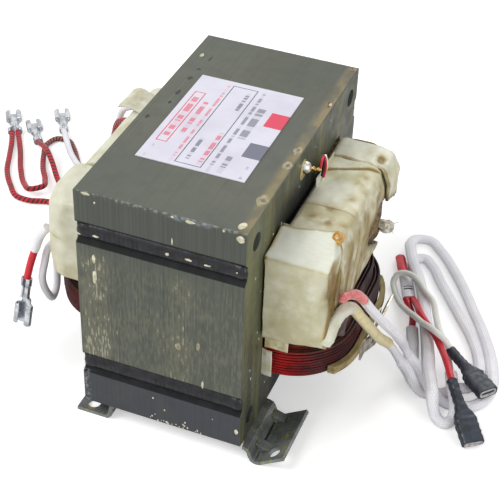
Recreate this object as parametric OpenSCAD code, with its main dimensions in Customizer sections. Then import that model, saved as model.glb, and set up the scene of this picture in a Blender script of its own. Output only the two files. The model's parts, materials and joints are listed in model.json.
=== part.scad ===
// High voltage transformer with a welded core of stamped plates.
// Millimetres, +Z up. X runs through the stack of plates, Y runs from the
// front (negative) to the rear. The origin is the centre of the footprint
// of the part without its leads, on the surface that it stands on.

/* [Core] */
// Length of the core from front to rear
core_l = 120; // [119:0.5:122]
// Height of the core without the feet
core_h = 100; // [99.5:0.5:101]
// Thickness of the stack of plates
stack_w = 65; // [64:0.5:65]
// Width of the middle leg
leg_w = 40; // [39:0.5:40]
// Height of the space under the core
foot_h = 7.5; // [7:0.25:8]
// Diameter of the corner holes through the stack
corner_hole_d = 7; // [6:0.5:8]

/* [Primary winding] */
// Reach of the winding to each side
primary_x = 61; // [60:0.5:62]
// Number of wires in the outer layer
primary_turns = 9; // [7:1:9]
// Distance between two wires of the outer layer
primary_pitch = 1.33; // [1.25:0.01:1.35]
// Radius of the winding's outer corners
primary_corner = 25; // [23:0.5:26]

/* [Secondary winding] */
// Space between the shunts and the winding
secondary_gap = 1.5; // [1.5:0.25:2.5]
// Space between the winding and the top of the window
secondary_slack = 1.5; // [1.5:0.25:2.5]
// Reach of the tape wraps to each side
wrap_x = 57; // [57:0.25:58]

/* [Filament winding] */
// Diameter of the filament wire
filament_d = 2.5; // [2.2:0.1:2.5]
// Number of filament turns
filament_turns = 3; // [2:1:3]

/* [Terminals and straps] */
// Thickness of the strap metal
strap_t = 1.5; // [1.2:0.1:1.5]
// Width of each strap
strap_w = 28; // [26:0.5:29]
// Diameter of the strap holes
strap_hole_d = 5; // [4:0.25:5.5]
// Thickness of the flat terminals
tab_t = 0.8; // [0.6:0.1:1]
// Width of the flat terminals
tab_w = 6.3; // [5:0.1:6.3]
// Height of the terminal board
board_h = 3.7; // [3.2:0.1:4.2]

/* [Label] */
// Length of the blank label
label_l = 61.5; // [58:0.5:64]
// Width of the blank label
label_w = 42; // [40:0.5:44]

/* [Hidden] */
$fn = 48;
core_c = "#3d3f37";
weld_c = "#23211f";
enamel_c = "#7a1212";
paper_c = "#e6e0c8";
tape_c = "#ddd6b0";
board_c = "#c2a684";
steel_c = "#7b8690";
tin_c = "#b9bdc0";
sleeve_c = "#ececf0";
red_c = "#b81d2c";
black_c = "#1c2027";

// Small allowances
gap = 0.3;
slip = 0.2;
cut = 1;

// Core
outer_leg_w = 20;
yoke_h = 20;
i_top = foot_h + yoke_h;
core_top = foot_h + core_h;
window_y0 = leg_w / 2;
window_y1 = core_l / 2 - outer_leg_w;
corner_in = 9;
notch_h = 9;
notch_floor_h = 6.6;
notch_deep = 1.6;
upper_seam_z = core_top - 17.9;
hole_rows = [foot_h + corner_in, core_top - corner_in];

// Welds in the notches
bead_w = 6;
bead_t = 1.2;
bead_end = [[0, 0], [3.2, 0], [3, 0.6], [2.2, 1.2], [1, 1.5], [0, 1.55]];

// Primary winding
primary_z = i_top + 1.1;
wire_r = 0.7;
crown = 0.4;
outer_h = primary_turns * primary_pitch;
primary_h = 18.25;
layer_in = 3;
primary_y = window_y1 - 0.6;
path_x = primary_x - crown - wire_r;
path_y = primary_y - crown - wire_r;
path_r = primary_corner - crown - wire_r;
sweep_t = 10;
fill_in = 5;
primary_in_x = stack_w / 2 + 1;
primary_in_y = window_y0 + 1;

// Shunts in the windows
shunt_x = stack_w / 2 - 1.5;
shunt_in = 0.5;
shunt_z = primary_z + primary_h + 0.95;
shunt_t = 3.7;

// Papers
paper_t = 0.4;
slot_paper_x = stack_w / 2 + 4;
fold_x0 = stack_w / 2 + 0.4;
fold_x1 = stack_w / 2 + 9.5;
fold_foot_y = primary_y - 0.6;
fold_back_y = window_y0 + 4;

// Secondary winding, outline of one quarter from its side round to the window
secondary_side = [[4.2, 28], [4.6, 6], [7, -0.5], [11, -3]];
secondary_window = [[4.5, 2.6], [0.7, -0.6]];
secondary_quarter = concat(
    [for (p = secondary_side) [wrap_x - p[0], window_y1 - p[1]]],
    [for (p = secondary_window) [stack_w / 2 + p[0], window_y1 + p[1]]]);
secondary_in_x = stack_w / 2 + 3.6;
secondary_in_y = leg_w / 2 + 3.4;
secondary_z = shunt_z + shunt_t + secondary_gap;
secondary_top = core_top - yoke_h - secondary_slack;
secondary_h = secondary_top - secondary_z;

// Tape wraps
wrap_z0 = secondary_z - 1;
wrap_z1 = secondary_top + 1.8;
wrap_in_x = stack_w / 2 + 1.5;
wrap_shoulder_x = wrap_x - 7;
leg_clear = [stack_w + 7, leg_w + 7.2];
front_y = [-window_y1 - 5, -window_y1 + 12];
rear_y = [window_y1 - 10, window_y1 + 6];
body_y = [front_y[1] + gap, rear_y[0] - gap];
left_split_y = -window_y1 + 22;
left_rear_y = window_y1 + 5;
left_corner = [[9, 4.6], [4.5, 3], [1.4, -0.5], [-1, -6]];
front_peak_z = secondary_top + 5;
front_drop = 2.4;
tear_x = wrap_shoulder_x + 1;
tear_line = [
    [4, -3], [4, 12.5], [1, 14.2], [-6.9, 16.9], [-19.2, 21.7], [-23.5, 21.2], [-25, 19.4],
    [-31.5, 19.5], [-33.6, 13.8], [-34, 10.7], [-16.4, 0.5], [-14, -3]];
body_drop = 8;
rear_drop = 6;
left_drop = 5;
left_waist = 7;
left_front_y = 4.2;
flap_y = [window_y1 - 16, window_y1 + 1];
flap_line = [[0.2, 1.6], [2, 3], [5, 3.2], [9, 1.8], [13, 0.5], [17, 0.5]];
flap_t = 0.5;

// Filament winding and the liner outside it
filament_z = secondary_top - 6.7;
filament_pitch = filament_d - 0.1;
filament_path = [stack_w / 2 + 0.25 + filament_d / 2, leg_w / 2 + 0.25 + filament_d / 2];
filament_corner = 1.6;
liner_half = [stack_w / 2 + 3.3, leg_w / 2 + 3.3];
liner_t = 0.45;
liner_top = secondary_top + 1.2;
tongue_y = [3, liner_half[1]];
tongue_top = secondary_top + 5;

// Ground point
dome_at = [stack_w / 2, -2.7, core_top - 8.9];
dome_r = 2.2;
dome_rim = 0.8;
dome_t = 2.1;
ground_wire_d = 1.2;
ground_route = [
    for (p = [[2.4, 0.2, 0], [6, 1.7, -0.6], [7.5, 5.7, -3.1], [7, 9.7, -6.6], [5.5, 12.7, -9]]) dome_at + p];

// Terminal board and tabs
board_gap = 0.2;
board_t = 2.2;
board_z = 28.8;
board_y = [-30.5, 30];
board_face = primary_x + board_gap + board_t;
tab_turn = 22;
tab_foot_l = 5;
tab_blade_l = 8;
tab_front_y = -15.5;
tab_rear_y = 6;
tab_z = board_z - 3.3;
tab_lean = 20;
tab_rear_l = 17;
tab_hole_d = 1.8;
tab_tip = 1.3;
tab_reach = board_face + tab_t * cos(tab_turn) + tab_blade_l * sin(tab_turn);

// The part without its leads is centred on the origin
core_x = (primary_x - tab_reach) / 2;

// Straps, line of the upper face from left to right
strap_y0 = -core_l / 2 + 0.5;
bridge_back = 3;
bridge_x = [-stack_w / 2 + 12, stack_w / 2 + 0.5];
strap_left = from_left([[-4, strap_t], [8.5, strap_t], [9.3, 2.4], [9.9, foot_h - 1.2], [10.9, foot_h]]);
strap_bend = from_right([[1, foot_h], [2.8, 6.8], [3.8, 5.4], [4.4, 3.4], [5.1, 2.05], [6.1, strap_t + 0.03]]);
foot_bend = from_right([[6.7, strap_t + 0.06], [7.3, strap_t + 0.26]]);
foot_tilt = 33;
foot_bent_l = 11.2;
foot_flat = from_right([[17.5, strap_t]]);
strap_hole_x = [-stack_w / 2 + 1.3, stack_w / 2 + 12];
strap_hole_y = core_l / 2 - 5;
strap_hole_along = 7;
rib_w = 4;
rib_y = [strap_y0 + 5.5, strap_y0 + 22.5];
rib_left = from_left([[5, 1.3], [9.5, 1.3], [10.1, 5.6]]);
rib_right = from_right([[4.1, 5], [5.5, 1.3], [9.7, 3.2]]);
rib_flat = from_right([[4.1, 5], [5.5, 1.3], [10.1, 1.3]]);

// Label
label_t = 0.3;
label_at = [-0.8, -1.8];

// Resin blob and the bunched tape end at the torn corner
blob_at = [wrap_x, front_y[1] - 3, secondary_top + 1];
blob_r = 3;
blob_t = 1.6;
knot_size = [5.4, 4.2];
knot_route = [
    for (p = [[-0.5, 3.4, 1.5], [-0.4, 0.5, 3], [-0.8, -3, 4.5], [-1.2, -6, 7], [-1.4, -8.2, 9]])
        [wrap_x + p[0], window_y1 + p[1], secondary_z + p[2]]];

// Leads, sizes
tube_d = 4.4;
stub_d = 3.6;
sleeve_size = [5, 3.4];
wire_d = 2.9;
thin_d = 2.7;
cloth_d = 2.7;
loop_d = 3;
tag_size = [5.8, 3.4];
cap_size = [4.6, 3.3];
small_sides = 8;
sleeve_sides = 12;

// Leads, routes from the winding outwards
hv_tube_route = [
    [59.5, -34, 53], [59.6, -32.6, 58], [60, -29, 60.8], [61, -25, 58.6],
    [63, -19.4, 50.8], [65.5, -10.5, 38.5], [67.5, -1.5, 27], [69.8, 5.4, 19.3]];
hv_stub_route = [[59.6, -36.5, 70.5], [61, -31.5, 69.6], [62.8, -27, 67], [65, -23.6, 62.4]];
sleeve_a_route = [
    [69.8, 5.4, 19.3], [72.5, 8.5, 12.6], [75, 9.5, 8], [79, 7, 5.6], [83, 2.6, 4.4], [87, 2, 1.8],
    [91, 3, 1.8], [95, 5, 1.7], [98.5, 9.5, 1.7], [102.5, 11.5, 1.7], [105, 16, 1.7],
    [105, 24, 1.7], [102, 33, 1.7], [96, 44, 1.7], [89, 54, 1.7], [82, 64, 1.7], [75, 74, 1.7],
    [69, 83, 1.7], [64, 87, 1.7], [60.5, 84, 1.7], [62, 77, 1.7], [67, 69, 1.7], [71, 60, 1.7],
    [74, 51.5, 1.7], [77, 42.5, 1.7], [80, 33.5, 1.7], [82.5, 25.5, 1.7], [84.5, 18.5, 1.7],
    [85, 12.5, 1.7], [83.5, 8.5, 1.7], [81, 11, 1.7], [78.5, 17, 1.7], [76.5, 24, 1.7],
    [74.5, 31, 1.7], [72.2, 38.2, 1.7]];
sleeve_b_route = [
    [65, -23.6, 62.4], [67.2, -19.8, 55.8], [70.2, -10.4, 43], [74.2, 1.4, 27.4], [75.4, 12.6, 12.6],
    [77.5, 13.5, 8], [81.5, 11.5, 5.7], [85, 8, 5.2], [88, 3.5, 5.7], [91, 0, 5.8],
    [93.5, -1.5, 5.2], [95.5, -1.5, 3.4], [98.5, -0.5, 1.8], [101, 0, 1.7], [107, 2, 1.7],
    [111, 8, 1.7], [112, 17, 1.7], [110, 26, 1.7], [106, 37, 1.7], [100, 49, 1.7], [93, 61, 1.7],
    [86, 73, 1.7], [78, 85, 1.7], [70, 95, 1.7], [63, 101, 1.7], [57.5, 100, 1.7], [55.8, 93, 3.6],
    [57.8, 85.5, 5.2], [61, 78, 5.2], [65, 71, 5.2], [68, 64.5, 5.2], [72, 55.5, 5.2], [75, 47.5, 5.2],
    [78, 38.5, 5.2], [81, 29.5, 5.2], [84, 20, 6], [86.5, 10.5, 8.2], [89.5, 2, 9.2], [92, -5, 9.2],
    [93.5, -7.5, 5], [96, -10, 2], [99.5, -11.5, 1.7], [102, -8, 2.2], [102, -4.5, 4.7],
    [100, 1, 5.1], [97.5, 7, 5.4], [95, 15, 4.2]];
red_wire_a_route = [
    [72.2, 38.2, 1.7], [70, 46.5, 1.6], [67.5, 50.5, 2.4], [64.5, 54.5, 3.4]];
red_wire_b_route = [
    [67.5, 55, 3.6], [71, 48, 6.6], [74, 41.5, 8.5], [77.5, 37, 8.6], [83, 31, 8.5], [88, 23, 9.2],
    [93.5, 11.5, 11.6], [97.5, 2.5, 12.2]];
marker_tag_route = [
    [66, 54.5, 3.5], [63.5, 61, 3.5], [60.5, 68, 3.5]];
splice_cap_route = [
    [60.5, 68, 3.5], [57, 75, 3], [54.5, 81.5, 2.2], [53, 84.5, 1.9]];
white_wire_route = [
    [95, 15, 4.2], [92.5, 22.5, 2.6], [89.5, 30.5, 1.5], [86.5, 36.5, 1.4], [83, 42.5, 1.4],
    [79.8, 48.2, 3.2], [77.2, 51.8, 7.2], [72, 56.5, 8.5], [68, 61.5, 8.5], [64, 65, 8],
    [60.5, 66.5, 7.2], [57.5, 66.5, 5.8], [56, 65, 2.8], [58, 60, 1.5], [61.5, 54, 1.6],
    [67.5, 45, 5], [73, 38, 8.6], [77, 34, 9.8], [81, 30, 12], [85, 27.5, 12.1], [89, 26, 10.6],
    [91.5, 26, 6.4]];
lead_1_route = [
    [-57.6, 12, 71], [-61.5, 14, 66.5], [-66, 18, 55], [-71, 24, 35], [-77, 31, 16],
    [-85, 40, 4.2], [-95, 49, 1.4], [-104, 57, 1.4], [-113, 57, 1.4], [-121, 54.5, 1.4],
    [-128, 55, 1.4], [-135.5, 62, 1.4], [-143, 72, 1.4], [-148.5, 84, 1.4], [-153.5, 95, 1.5],
    [-157.2, 102.2, 2.2]];
lead_2_route = [
    [-57.6, 33, 75], [-62.5, 36, 71.5], [-68, 41, 58], [-75, 49, 38], [-83, 57, 18],
    [-91, 65, 5], [-100, 74, 1.4], [-109, 84, 1.4], [-116, 94, 1.4], [-122, 102, 1.4],
    [-128.5, 107.8, 1.4], [-134.2, 107, 1.4], [-136.3, 100.5, 1.5], [-133, 91, 1.9], [-127.5, 80, 2],
    [-121.5, 71, 2.6], [-118.6, 63.5, 4.4], [-122.5, 59.5, 4.4], [-130, 65.5, 1.6], [-138, 76.5, 1.4],
    [-145.2, 89, 1.4], [-151, 98.2, 1.5], [-154.8, 103.8, 2.2]];
lead_3_route = [
    [-57.6, 22, 68], [-61, 25, 63], [-65, 31, 50], [-71, 38, 30], [-78, 45, 11],
    [-87, 52, 2.4], [-97, 58, 1.4], [-105, 63.5, 1.4], [-112, 70, 1.4], [-118, 76.5, 1.6],
    [-124.5, 84, 4.2], [-130, 89.6, 5.8], [-135.5, 95, 4.2], [-141, 100, 1.8]];
lead_4_route = [
    [-57.6, 40, 78], [-63, 43, 74], [-70, 49, 60], [-79, 57, 40], [-88, 65, 20],
    [-97, 74, 7], [-107, 82, 5.6], [-117, 91, 5.2], [-126, 102.5, 4.5], [-130.5, 108.8, 4.4], [-134, 114, 2.2]];
lead_5_route = [[-57.8, -36, 67], [-60.6, -36.4, 63], [-63.6, -37.2, 55], [-65.6, -38.4, 47.5], [-66.6, -39.6, 42]];
lead_5_sleeve_at = 2;
white_loop_route = [
    [-57.8, -30, 57], [-60, -32.4, 54.4], [-61.2, -34.4, 48], [-62, -36, 40], [-61.2, -34.2, 32],
    [-61, -30.8, 27.4], [-61.4, -27, 29], [-61.6, -25.2, 35], [-61.4, -25, 42], [-59.8, -25, 51]];

// Female terminals
spade_w = 7.8;
spade_l = 20;
spade_body_l = 8.6;
spade_neck_l = 3;
spade_metal = 0.8;
spade_roll_r = 1.5;
barrel_l = 5.4;
grip_l = 3;
barrel_r = 1.7;
grip_h = 3.6;
grip_w_one = 3.8;
grip_w_two = 6.6;
spade_1_at = [-156, 103, 0];
spade_1_turn = atan2(136 - 103, -177 + 156) - 90;
spade_2_at = [-141, 100, 0];
spade_2_turn = atan2(131 - 100, -164 + 141) - 90;
spade_3_at = [-134, 114, 0];
spade_3_turn = atan2(139 - 114, -149 + 134) - 90;
spade_5_at = [-66.6, -39.6, 42];
spade_5_dir = [-0.6, -5.4, -17];

// Female terminals in shrunk sleeving
shroud_tail_d = 4.4;
shroud_tail_l = 12;
shroud_w = 9;
shroud_t = 4.5;
shroud_l = 13;
shroud_neck_l = 3;
shroud_neck_w = 6.6;
mouth = [6.8, 1.6, 4];
shroud_red_at = [97.5, 2.5, 12.2];
shroud_red_dir = [14.5, -20, -9];
shroud_white_at = [91.5, 26, 6.4];
shroud_white_dir = [21, -19.5, 0.2];

// Helpers

function unit(v) = v / norm(v);

// Points measured outwards from the left or the right side of the stack
function from_left(p) = [for (q = p) [q[0] - stack_w / 2, q[1]]];
function from_right(p) = [for (q = p) [q[0] + stack_w / 2, q[1]]];

// Direction of a route at one of its points
function heading(p, i) = unit(p[min(i + 1, len(p) - 1)] - p[max(i - 1, 0)]);

// One ring of a swept tube
function ring(c, d, size, n, up) =
    let (s = unit(cross(d, up)), u = cross(d, s))
    [for (j = [0:n - 1]) c + s * size[0] / 2 * cos(360 * j / n) + u * size[1] / 2 * sin(360 * j / n)];

// Left normal of a flat line at one of its points, long enough for a mitred corner
function mitre(p, i) =
    let (a = unit(p[max(i, 1)] - p[max(i, 1) - 1]),
         j = min(i, len(p) - 2),
         b = unit(p[j + 1] - p[j]),
         m = [-a[1] - b[1], a[0] + b[0]])
    2 * m / (m * m);

// Moves a piece from the core's centre to the part's origin
module placed() {
    translate([core_x, 0, 0]) children();
}

// Copies a piece to the other end of the core
module both_ends() {
    children();
    mirror([0, 1, 0]) children();
}

// Extrudes an outline in the YZ plane through the stack
module through_x(l) {
    rotate([90, 0, 90]) linear_extrude(height = l, center = true) children();
}

// Extrudes an outline in the XZ plane from y0 to y1
module along_y(y0, y1) {
    translate([0, y1, 0]) rotate([90, 0, 0]) linear_extrude(height = y1 - y0) children();
}

// Tube with an oval section along a route
module tube(p, size, n, up = [0, 0, 1]) {
    last = len(p) - 1;
    rings = [for (i = [0:last]) each ring(p[i], heading(p, i), size, n, up)];
    polyhedron(
        points = rings,
        faces = concat(
            [[for (j = [0:n - 1]) j]],
            [[for (j = [n - 1:-1:0]) last * n + j]],
            [for (i = [0:last - 1], j = [0:n - 1]) [i * n + j, (i + 1) * n + j, (i + 1) * n + (j + 1) % n]],
            [for (i = [0:last - 1], j = [0:n - 1]) [i * n + j, (i + 1) * n + (j + 1) % n, i * n + (j + 1) % n]]),
        convexity = 6);
}

// Sheet of one thickness under a flat line
module sheet(p, t) {
    polygon(concat(
        [for (q = p) q],
        [for (i = [len(p) - 1:-1:0]) p[i] - t * mitre(p, i)]));
}

// Rectangle with round corners, given by its half sizes
module rounded(hx, hy, r) {
    square([2 * (hx - r), 2 * hy], center = true);
    square([2 * hx, 2 * (hy - r)], center = true);
    for (sx = [-1, 1], sy = [-1, 1])
        translate([sx * (hx - r), sy * (hy - r)]) circle(r = r);
}

// Carries a section around the middle leg, its origin on a rounded rectangle
module around_leg(hx, hy, r) {
    for (k = [0:3]) {
        a = k % 2 == 0 ? hx : hy;
        b = k % 2 == 0 ? hy : hx;
        rotate([0, 0, 90 * k]) {
            translate([a, 0, 0]) rotate([90, 0, 0])
                linear_extrude(height = 2 * (b - r), center = true) children();
            translate([a - r, b - r, 0])
                rotate_extrude(angle = 90) translate([r, 0]) children();
        }
    }
}

// Lays a piece that points along +Y into a new heading
module facing(d) {
    rotate([0, 0, atan2(d[1], d[0]) - 90]) rotate([atan2(d[2], norm([d[0], d[1]])), 0, 0]) children();
}

// Core

module notch_2d(y, z) {
    translate([y, z]) polygon([
        [cut, -notch_h / 2], [0, -notch_h / 2], [-notch_deep, -notch_floor_h / 2],
        [-notch_deep, notch_floor_h / 2], [0, notch_h / 2], [cut, notch_h / 2]]);
}

module corner_holes_2d(z) {
    for (s = [-1, 1])
        translate([s * (core_l / 2 - corner_in), z]) circle(d = corner_hole_d);
}

module plate_2d() {
    difference() {
        translate([-core_l / 2, foot_h]) square([core_l, core_h]);
        for (s = [0, 1], z = [i_top, upper_seam_z])
            mirror([s, 0]) notch_2d(core_l / 2, z);
        for (z = hole_rows)
            corner_holes_2d(z);
    }
}

module e_core() {
    color(core_c) placed() through_x(stack_w) difference() {
        plate_2d();
        translate([-core_l, 0]) square([2 * core_l, i_top]);
        for (s = [0, 1])
            mirror([s, 0]) translate([window_y0, i_top - cut])
                square([window_y1 - window_y0, core_top - yoke_h - i_top + cut]);
    }
}

module i_core() {
    color(core_c) placed() through_x(stack_w) intersection() {
        plate_2d();
        translate([-core_l, 0]) square([2 * core_l, i_top]);
    }
}

// Flat-backed bead along X with a wider blob at each end
module weld_bead(z) {
    r = (bead_w * bead_w / 4 + bead_t * bead_t) / (2 * bead_t);
    translate([0, core_l / 2 - notch_deep, z]) {
        through_x(stack_w) intersection() {
            translate([bead_t - r, 0]) circle(r = r);
            translate([0, -bead_w / 2]) square([bead_t, bead_w]);
        }
        for (s = [-1, 1])
            translate([s * (stack_w / 2 - bead_end[1][0]), 0, 0]) rotate([-90, 0, 0])
                rotate_extrude() polygon(bead_end);
    }
}

module seam_welds() {
    color(weld_c) placed() both_ends() weld_bead(upper_seam_z);
}

module joint_welds() {
    color(weld_c) placed() both_ends() weld_bead(i_top);
}

module shunt() {
    color(core_c) placed()
        translate([-shunt_x, window_y0 + shunt_in, shunt_z])
            cube([2 * shunt_x, window_y1 - window_y0 - 2 * shunt_in, shunt_t]);
}

module shunt_front() {
    mirror([0, 1, 0]) shunt();
}

module shunt_rear() {
    shunt();
}

// Windings

function crown_at(i) =
    let (half = (primary_turns - 1) / 2, t = (i - half) / half)
    crown * (1 - t * t);

module primary_section() {
    translate([-sweep_t, 0]) square([sweep_t, outer_h]);
    translate([-sweep_t, 0]) square([sweep_t - layer_in, primary_h]);
    for (i = [0:primary_turns - 1])
        translate([crown_at(i), (i + 0.5) * primary_pitch]) circle(r = wire_r, $fn = 24);
}

module primary_winding() {
    color(enamel_c) placed() translate([0, 0, primary_z]) intersection() {
        union() {
            around_leg(path_x, path_y, path_r) primary_section();
            linear_extrude(height = primary_h) difference() {
                rounded(path_x - fill_in, path_y - fill_in, path_r - fill_in);
                square([2 * primary_in_x, 2 * primary_in_y], center = true);
            }
        }
        linear_extrude(height = primary_h) square(3 * primary_x, center = true);
    }
}

module slot_papers() {
    color(paper_c) placed() both_ends()
        translate([-slot_paper_x, primary_y + slip, i_top + slip])
            cube([2 * slot_paper_x, paper_t, primary_z + outer_h - i_top]);
}

module fold_papers() {
    z = primary_z + primary_h + paper_t;
    line = [[-fold_foot_y, primary_z + outer_h + slip], [paper_t - fold_foot_y, z], [-fold_back_y, z]];
    color(paper_c) placed() both_ends() translate([(fold_x0 + fold_x1) / 2, 0, 0])
        through_x(fold_x1 - fold_x0) sheet(line, paper_t);
}

// Outline of the secondary winding, grown on every side
module secondary_2d(grow = 0) {
    q = [for (p = secondary_quarter) p + [grow, grow]];
    r = [for (i = [len(q) - 1:-1:0]) q[i]];
    polygon(concat(
        q, [for (p = r) [-p[0], p[1]]],
        [for (p = q) -p], [for (p = r) [p[0], -p[1]]]));
}

module secondary_winding() {
    color(tape_c) placed() translate([0, 0, secondary_z])
        linear_extrude(height = secondary_h) difference() {
            secondary_2d();
            square([2 * secondary_in_x, 2 * secondary_in_y], center = true);
        }
}

// Room that every tape wrap leaves for the winding, the leg and the liner
module wrap_room() {
    translate([0, 0, secondary_z - gap])
        linear_extrude(height = secondary_h + 2 * gap) secondary_2d(gap);
    translate([0, 0, core_h / 2])
        cube([leg_clear[0], leg_clear[1], 2 * core_h], center = true);
}

// Torn hole through the right side of the tape
module tear_room() {
    translate([tear_x + core_l / 2, window_y1, secondary_z]) through_x(core_l) polygon(tear_line);
}

module wrap_right_body() {
    top = wrap_z1;
    color(tape_c) placed() difference() {
        along_y(body_y[0], body_y[1]) polygon([
            [wrap_in_x, wrap_z0], [wrap_in_x, top - 1.6], [wrap_in_x + 1.6, top],
            [wrap_shoulder_x, top], [wrap_x - 2.5, top - 1.8], [wrap_x, secondary_top - body_drop],
            [wrap_x + gap, secondary_z + 3], [wrap_x - 0.5, wrap_z0]]);
        wrap_room();
        tear_room();
    }
}

module wrap_right_front() {
    color(tape_c) placed() difference() {
        translate([(wrap_in_x - 1 + wrap_x) / 2, 0, 0])
            through_x(wrap_x - wrap_in_x + 1) polygon([
                [front_y[0], secondary_top], [front_y[0] + 1.2, secondary_top + 1.6],
                [front_y[1], front_peak_z], [front_y[1], wrap_z0 - front_drop],
                [front_y[0] + 0.6, wrap_z0 - front_drop]]);
        wrap_room();
    }
}

module wrap_right_rear() {
    side = wrap_x + 1.5;
    color(tape_c) placed() difference() {
        along_y(rear_y[0], rear_y[1]) polygon([
            [wrap_in_x - 1, wrap_z0], [wrap_in_x - 1, wrap_z1 - 1], [wrap_in_x + 1, wrap_z1 + 0.4],
            [wrap_shoulder_x, wrap_z1 + 0.4], [wrap_x - 1, wrap_z1 - 1.6],
            [side, secondary_top - rear_drop], [side, wrap_z0]]);
        wrap_room();
        tear_room();
    }
}

module wrap_left_front() {
    color(tape_c) placed() difference() {
        intersection() {
            along_y(front_y[0] - cut, 0) polygon([
                [-wrap_in_x, wrap_z0], [-wrap_in_x, wrap_z1], [-wrap_shoulder_x, wrap_z1],
                [-wrap_x + 2.5, wrap_z1 - 1.8], [-wrap_x, secondary_top - left_drop],
                [-wrap_x - gap, secondary_z + left_waist], [-wrap_x + 0.4, wrap_z0]]);
            translate([0, 0, wrap_z0 - cut]) linear_extrude(height = core_h) polygon(concat(
                [[-wrap_in_x, -window_y1 - left_front_y]],
                [for (p = left_corner) [-wrap_x + p[0], -window_y1 - p[1]]],
                [[-wrap_x - 1, left_split_y], [-wrap_in_x, left_split_y]]));
        }
        wrap_room();
    }
}

module wrap_left_rear() {
    color(tape_c) placed() difference() {
        along_y(left_split_y + gap, left_rear_y) polygon([
            [-wrap_in_x, wrap_z0], [-wrap_in_x, wrap_z1], [-wrap_shoulder_x, wrap_z1],
            [-wrap_x + 4, wrap_z1 - 0.6], [-wrap_x + 0.6, secondary_top - left_drop],
            [-wrap_x + 0.4, secondary_z + left_waist], [-wrap_x + 1, wrap_z0]]);
        wrap_room();
    }
}

// Loose end of tape that curls up at the rear left corner
module tape_flap() {
    line = [for (p = flap_line) [p[0] - wrap_x, p[1] + wrap_z1]];
    color(tape_c) placed() along_y(flap_y[0], flap_y[1]) sheet(line, flap_t);
}

module filament_winding() {
    color(red_c) placed() translate([0, 0, filament_z])
        around_leg(filament_path[0], filament_path[1], filament_corner)
            for (i = [0:filament_turns - 1])
                translate([0, i * filament_pitch]) circle(d = filament_d, $fn = 24);
}

module winding_liner() {
    color(paper_c) placed() {
        translate([0, 0, secondary_z]) linear_extrude(height = liner_top - secondary_z) difference() {
            square(2 * liner_half, center = true);
            square([2 * (liner_half[0] - liner_t), 2 * (liner_half[1] - liner_t)], center = true);
        }
        translate([liner_half[0] - liner_t, tongue_y[0], liner_top - cut])
            cube([liner_t, tongue_y[1] - tongue_y[0], tongue_top - liner_top + cut]);
    }
}

// Ground point, terminals and label

module ground_dome() {
    r = (dome_r * dome_r + dome_t * dome_t) / (2 * dome_t);
    color(tin_c) placed() translate(dome_at) rotate([0, 90, 0]) {
        cylinder(r = dome_r + dome_rim, h = dome_rim);
        intersection() {
            translate([0, 0, dome_t - r]) sphere(r = r);
            cylinder(r = 2 * dome_r, h = dome_t + cut);
        }
    }
}

module ground_wire() {
    color(tin_c) placed() tube(ground_route, [ground_wire_d, ground_wire_d], small_sides);
}

module terminal_board() {
    grow = board_gap + crown;
    inner = [path_x + wire_r + grow, path_y + wire_r + grow, path_r + wire_r + grow];
    color(board_c) placed() translate([0, 0, board_z]) linear_extrude(height = board_h) intersection() {
        difference() {
            rounded(inner[0] + board_t, inner[1] + board_t, inner[2] + board_t);
            rounded(inner[0], inner[1], inner[2]);
        }
        translate([0, board_y[0]]) square([2 * primary_x, board_y[1] - board_y[0]]);
    }
}

// Flat blade along +Y with clipped tip corners and a hole near the tip
module tab_blade(l) {
    rotate([90, 0, 90]) linear_extrude(height = tab_t) difference() {
        polygon([[0, 0], [l - tab_tip, 0], [l, tab_tip], [l, tab_w - tab_tip], [l - tab_tip, tab_w], [0, tab_w]]);
        translate([l - 2.4 * tab_tip, tab_w / 2]) circle(d = tab_hole_d);
    }
}

module tab_front() {
    color(tin_c) placed() translate([board_face, tab_front_y, tab_z]) {
        cube([tab_t, tab_foot_l + tab_t * sin(tab_turn), tab_w]);
        translate([0, tab_foot_l, 0]) rotate([0, 0, -tab_turn]) tab_blade(tab_blade_l);
    }
}

module tab_rear() {
    color(tin_c) placed() translate([board_face, tab_rear_y, tab_z]) {
        cube([tab_t, tab_foot_l, tab_w]);
        rotate([0, tab_lean, 0]) tab_blade(tab_rear_l);
    }
}

module label_sheet() {
    color(paper_c) placed() translate([label_at[0], label_at[1], core_top])
        translate([-label_w / 2, -label_l / 2, 0]) cube([label_w, label_l, label_t]);
}

// Straps

// Strap across the underside, its right foot following the given line
module strap(right_foot, right_rib, hole_from, hole_turn) {
    y1 = strap_y0 + strap_w;
    difference() {
        union() {
            along_y(strap_y0, y1) sheet(concat(strap_left, strap_bend, right_foot), strap_t);
            for (y = rib_y) {
                along_y(y, y + rib_w) polygon(rib_left);
                along_y(y, y + rib_w) polygon(right_rib);
            }
        }
        translate([bridge_x[0], strap_y0 - cut, -cut])
            cube([bridge_x[1] - bridge_x[0], bridge_back + cut, foot_h + 2 * cut]);
        translate([strap_hole_x[0], -strap_hole_y, -cut]) cylinder(d = strap_hole_d, h = strap_t + 2 * cut);
        translate([hole_from[0], -strap_hole_y, hole_from[1]]) rotate([0, -hole_turn, 0])
            translate([(strap_hole_x[1] - hole_from[0]) / cos(hole_turn), 0, -strap_hole_along / 2])
                cylinder(d = strap_hole_d, h = strap_hole_along);
    }
}

module front_strap() {
    tip = foot_bend[1] + foot_bent_l * [cos(foot_tilt), sin(foot_tilt)];
    color(steel_c) placed() strap(concat(foot_bend, [tip]), rib_right, foot_bend[1], foot_tilt);
}

module rear_strap() {
    color(steel_c) placed() mirror([0, 1, 0]) strap(foot_flat, rib_flat, strap_bend[5], 0);
}

// Resin and tape details

module resin_blob() {
    r = (blob_r * blob_r + blob_t * blob_t) / (2 * blob_t);
    color("#b98a35") placed() translate(blob_at) rotate([0, 90, 0]) intersection() {
        translate([0, 0, blob_t - r]) sphere(r = r);
        cylinder(r = 2 * blob_r, h = blob_t + cut);
    }
}

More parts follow.
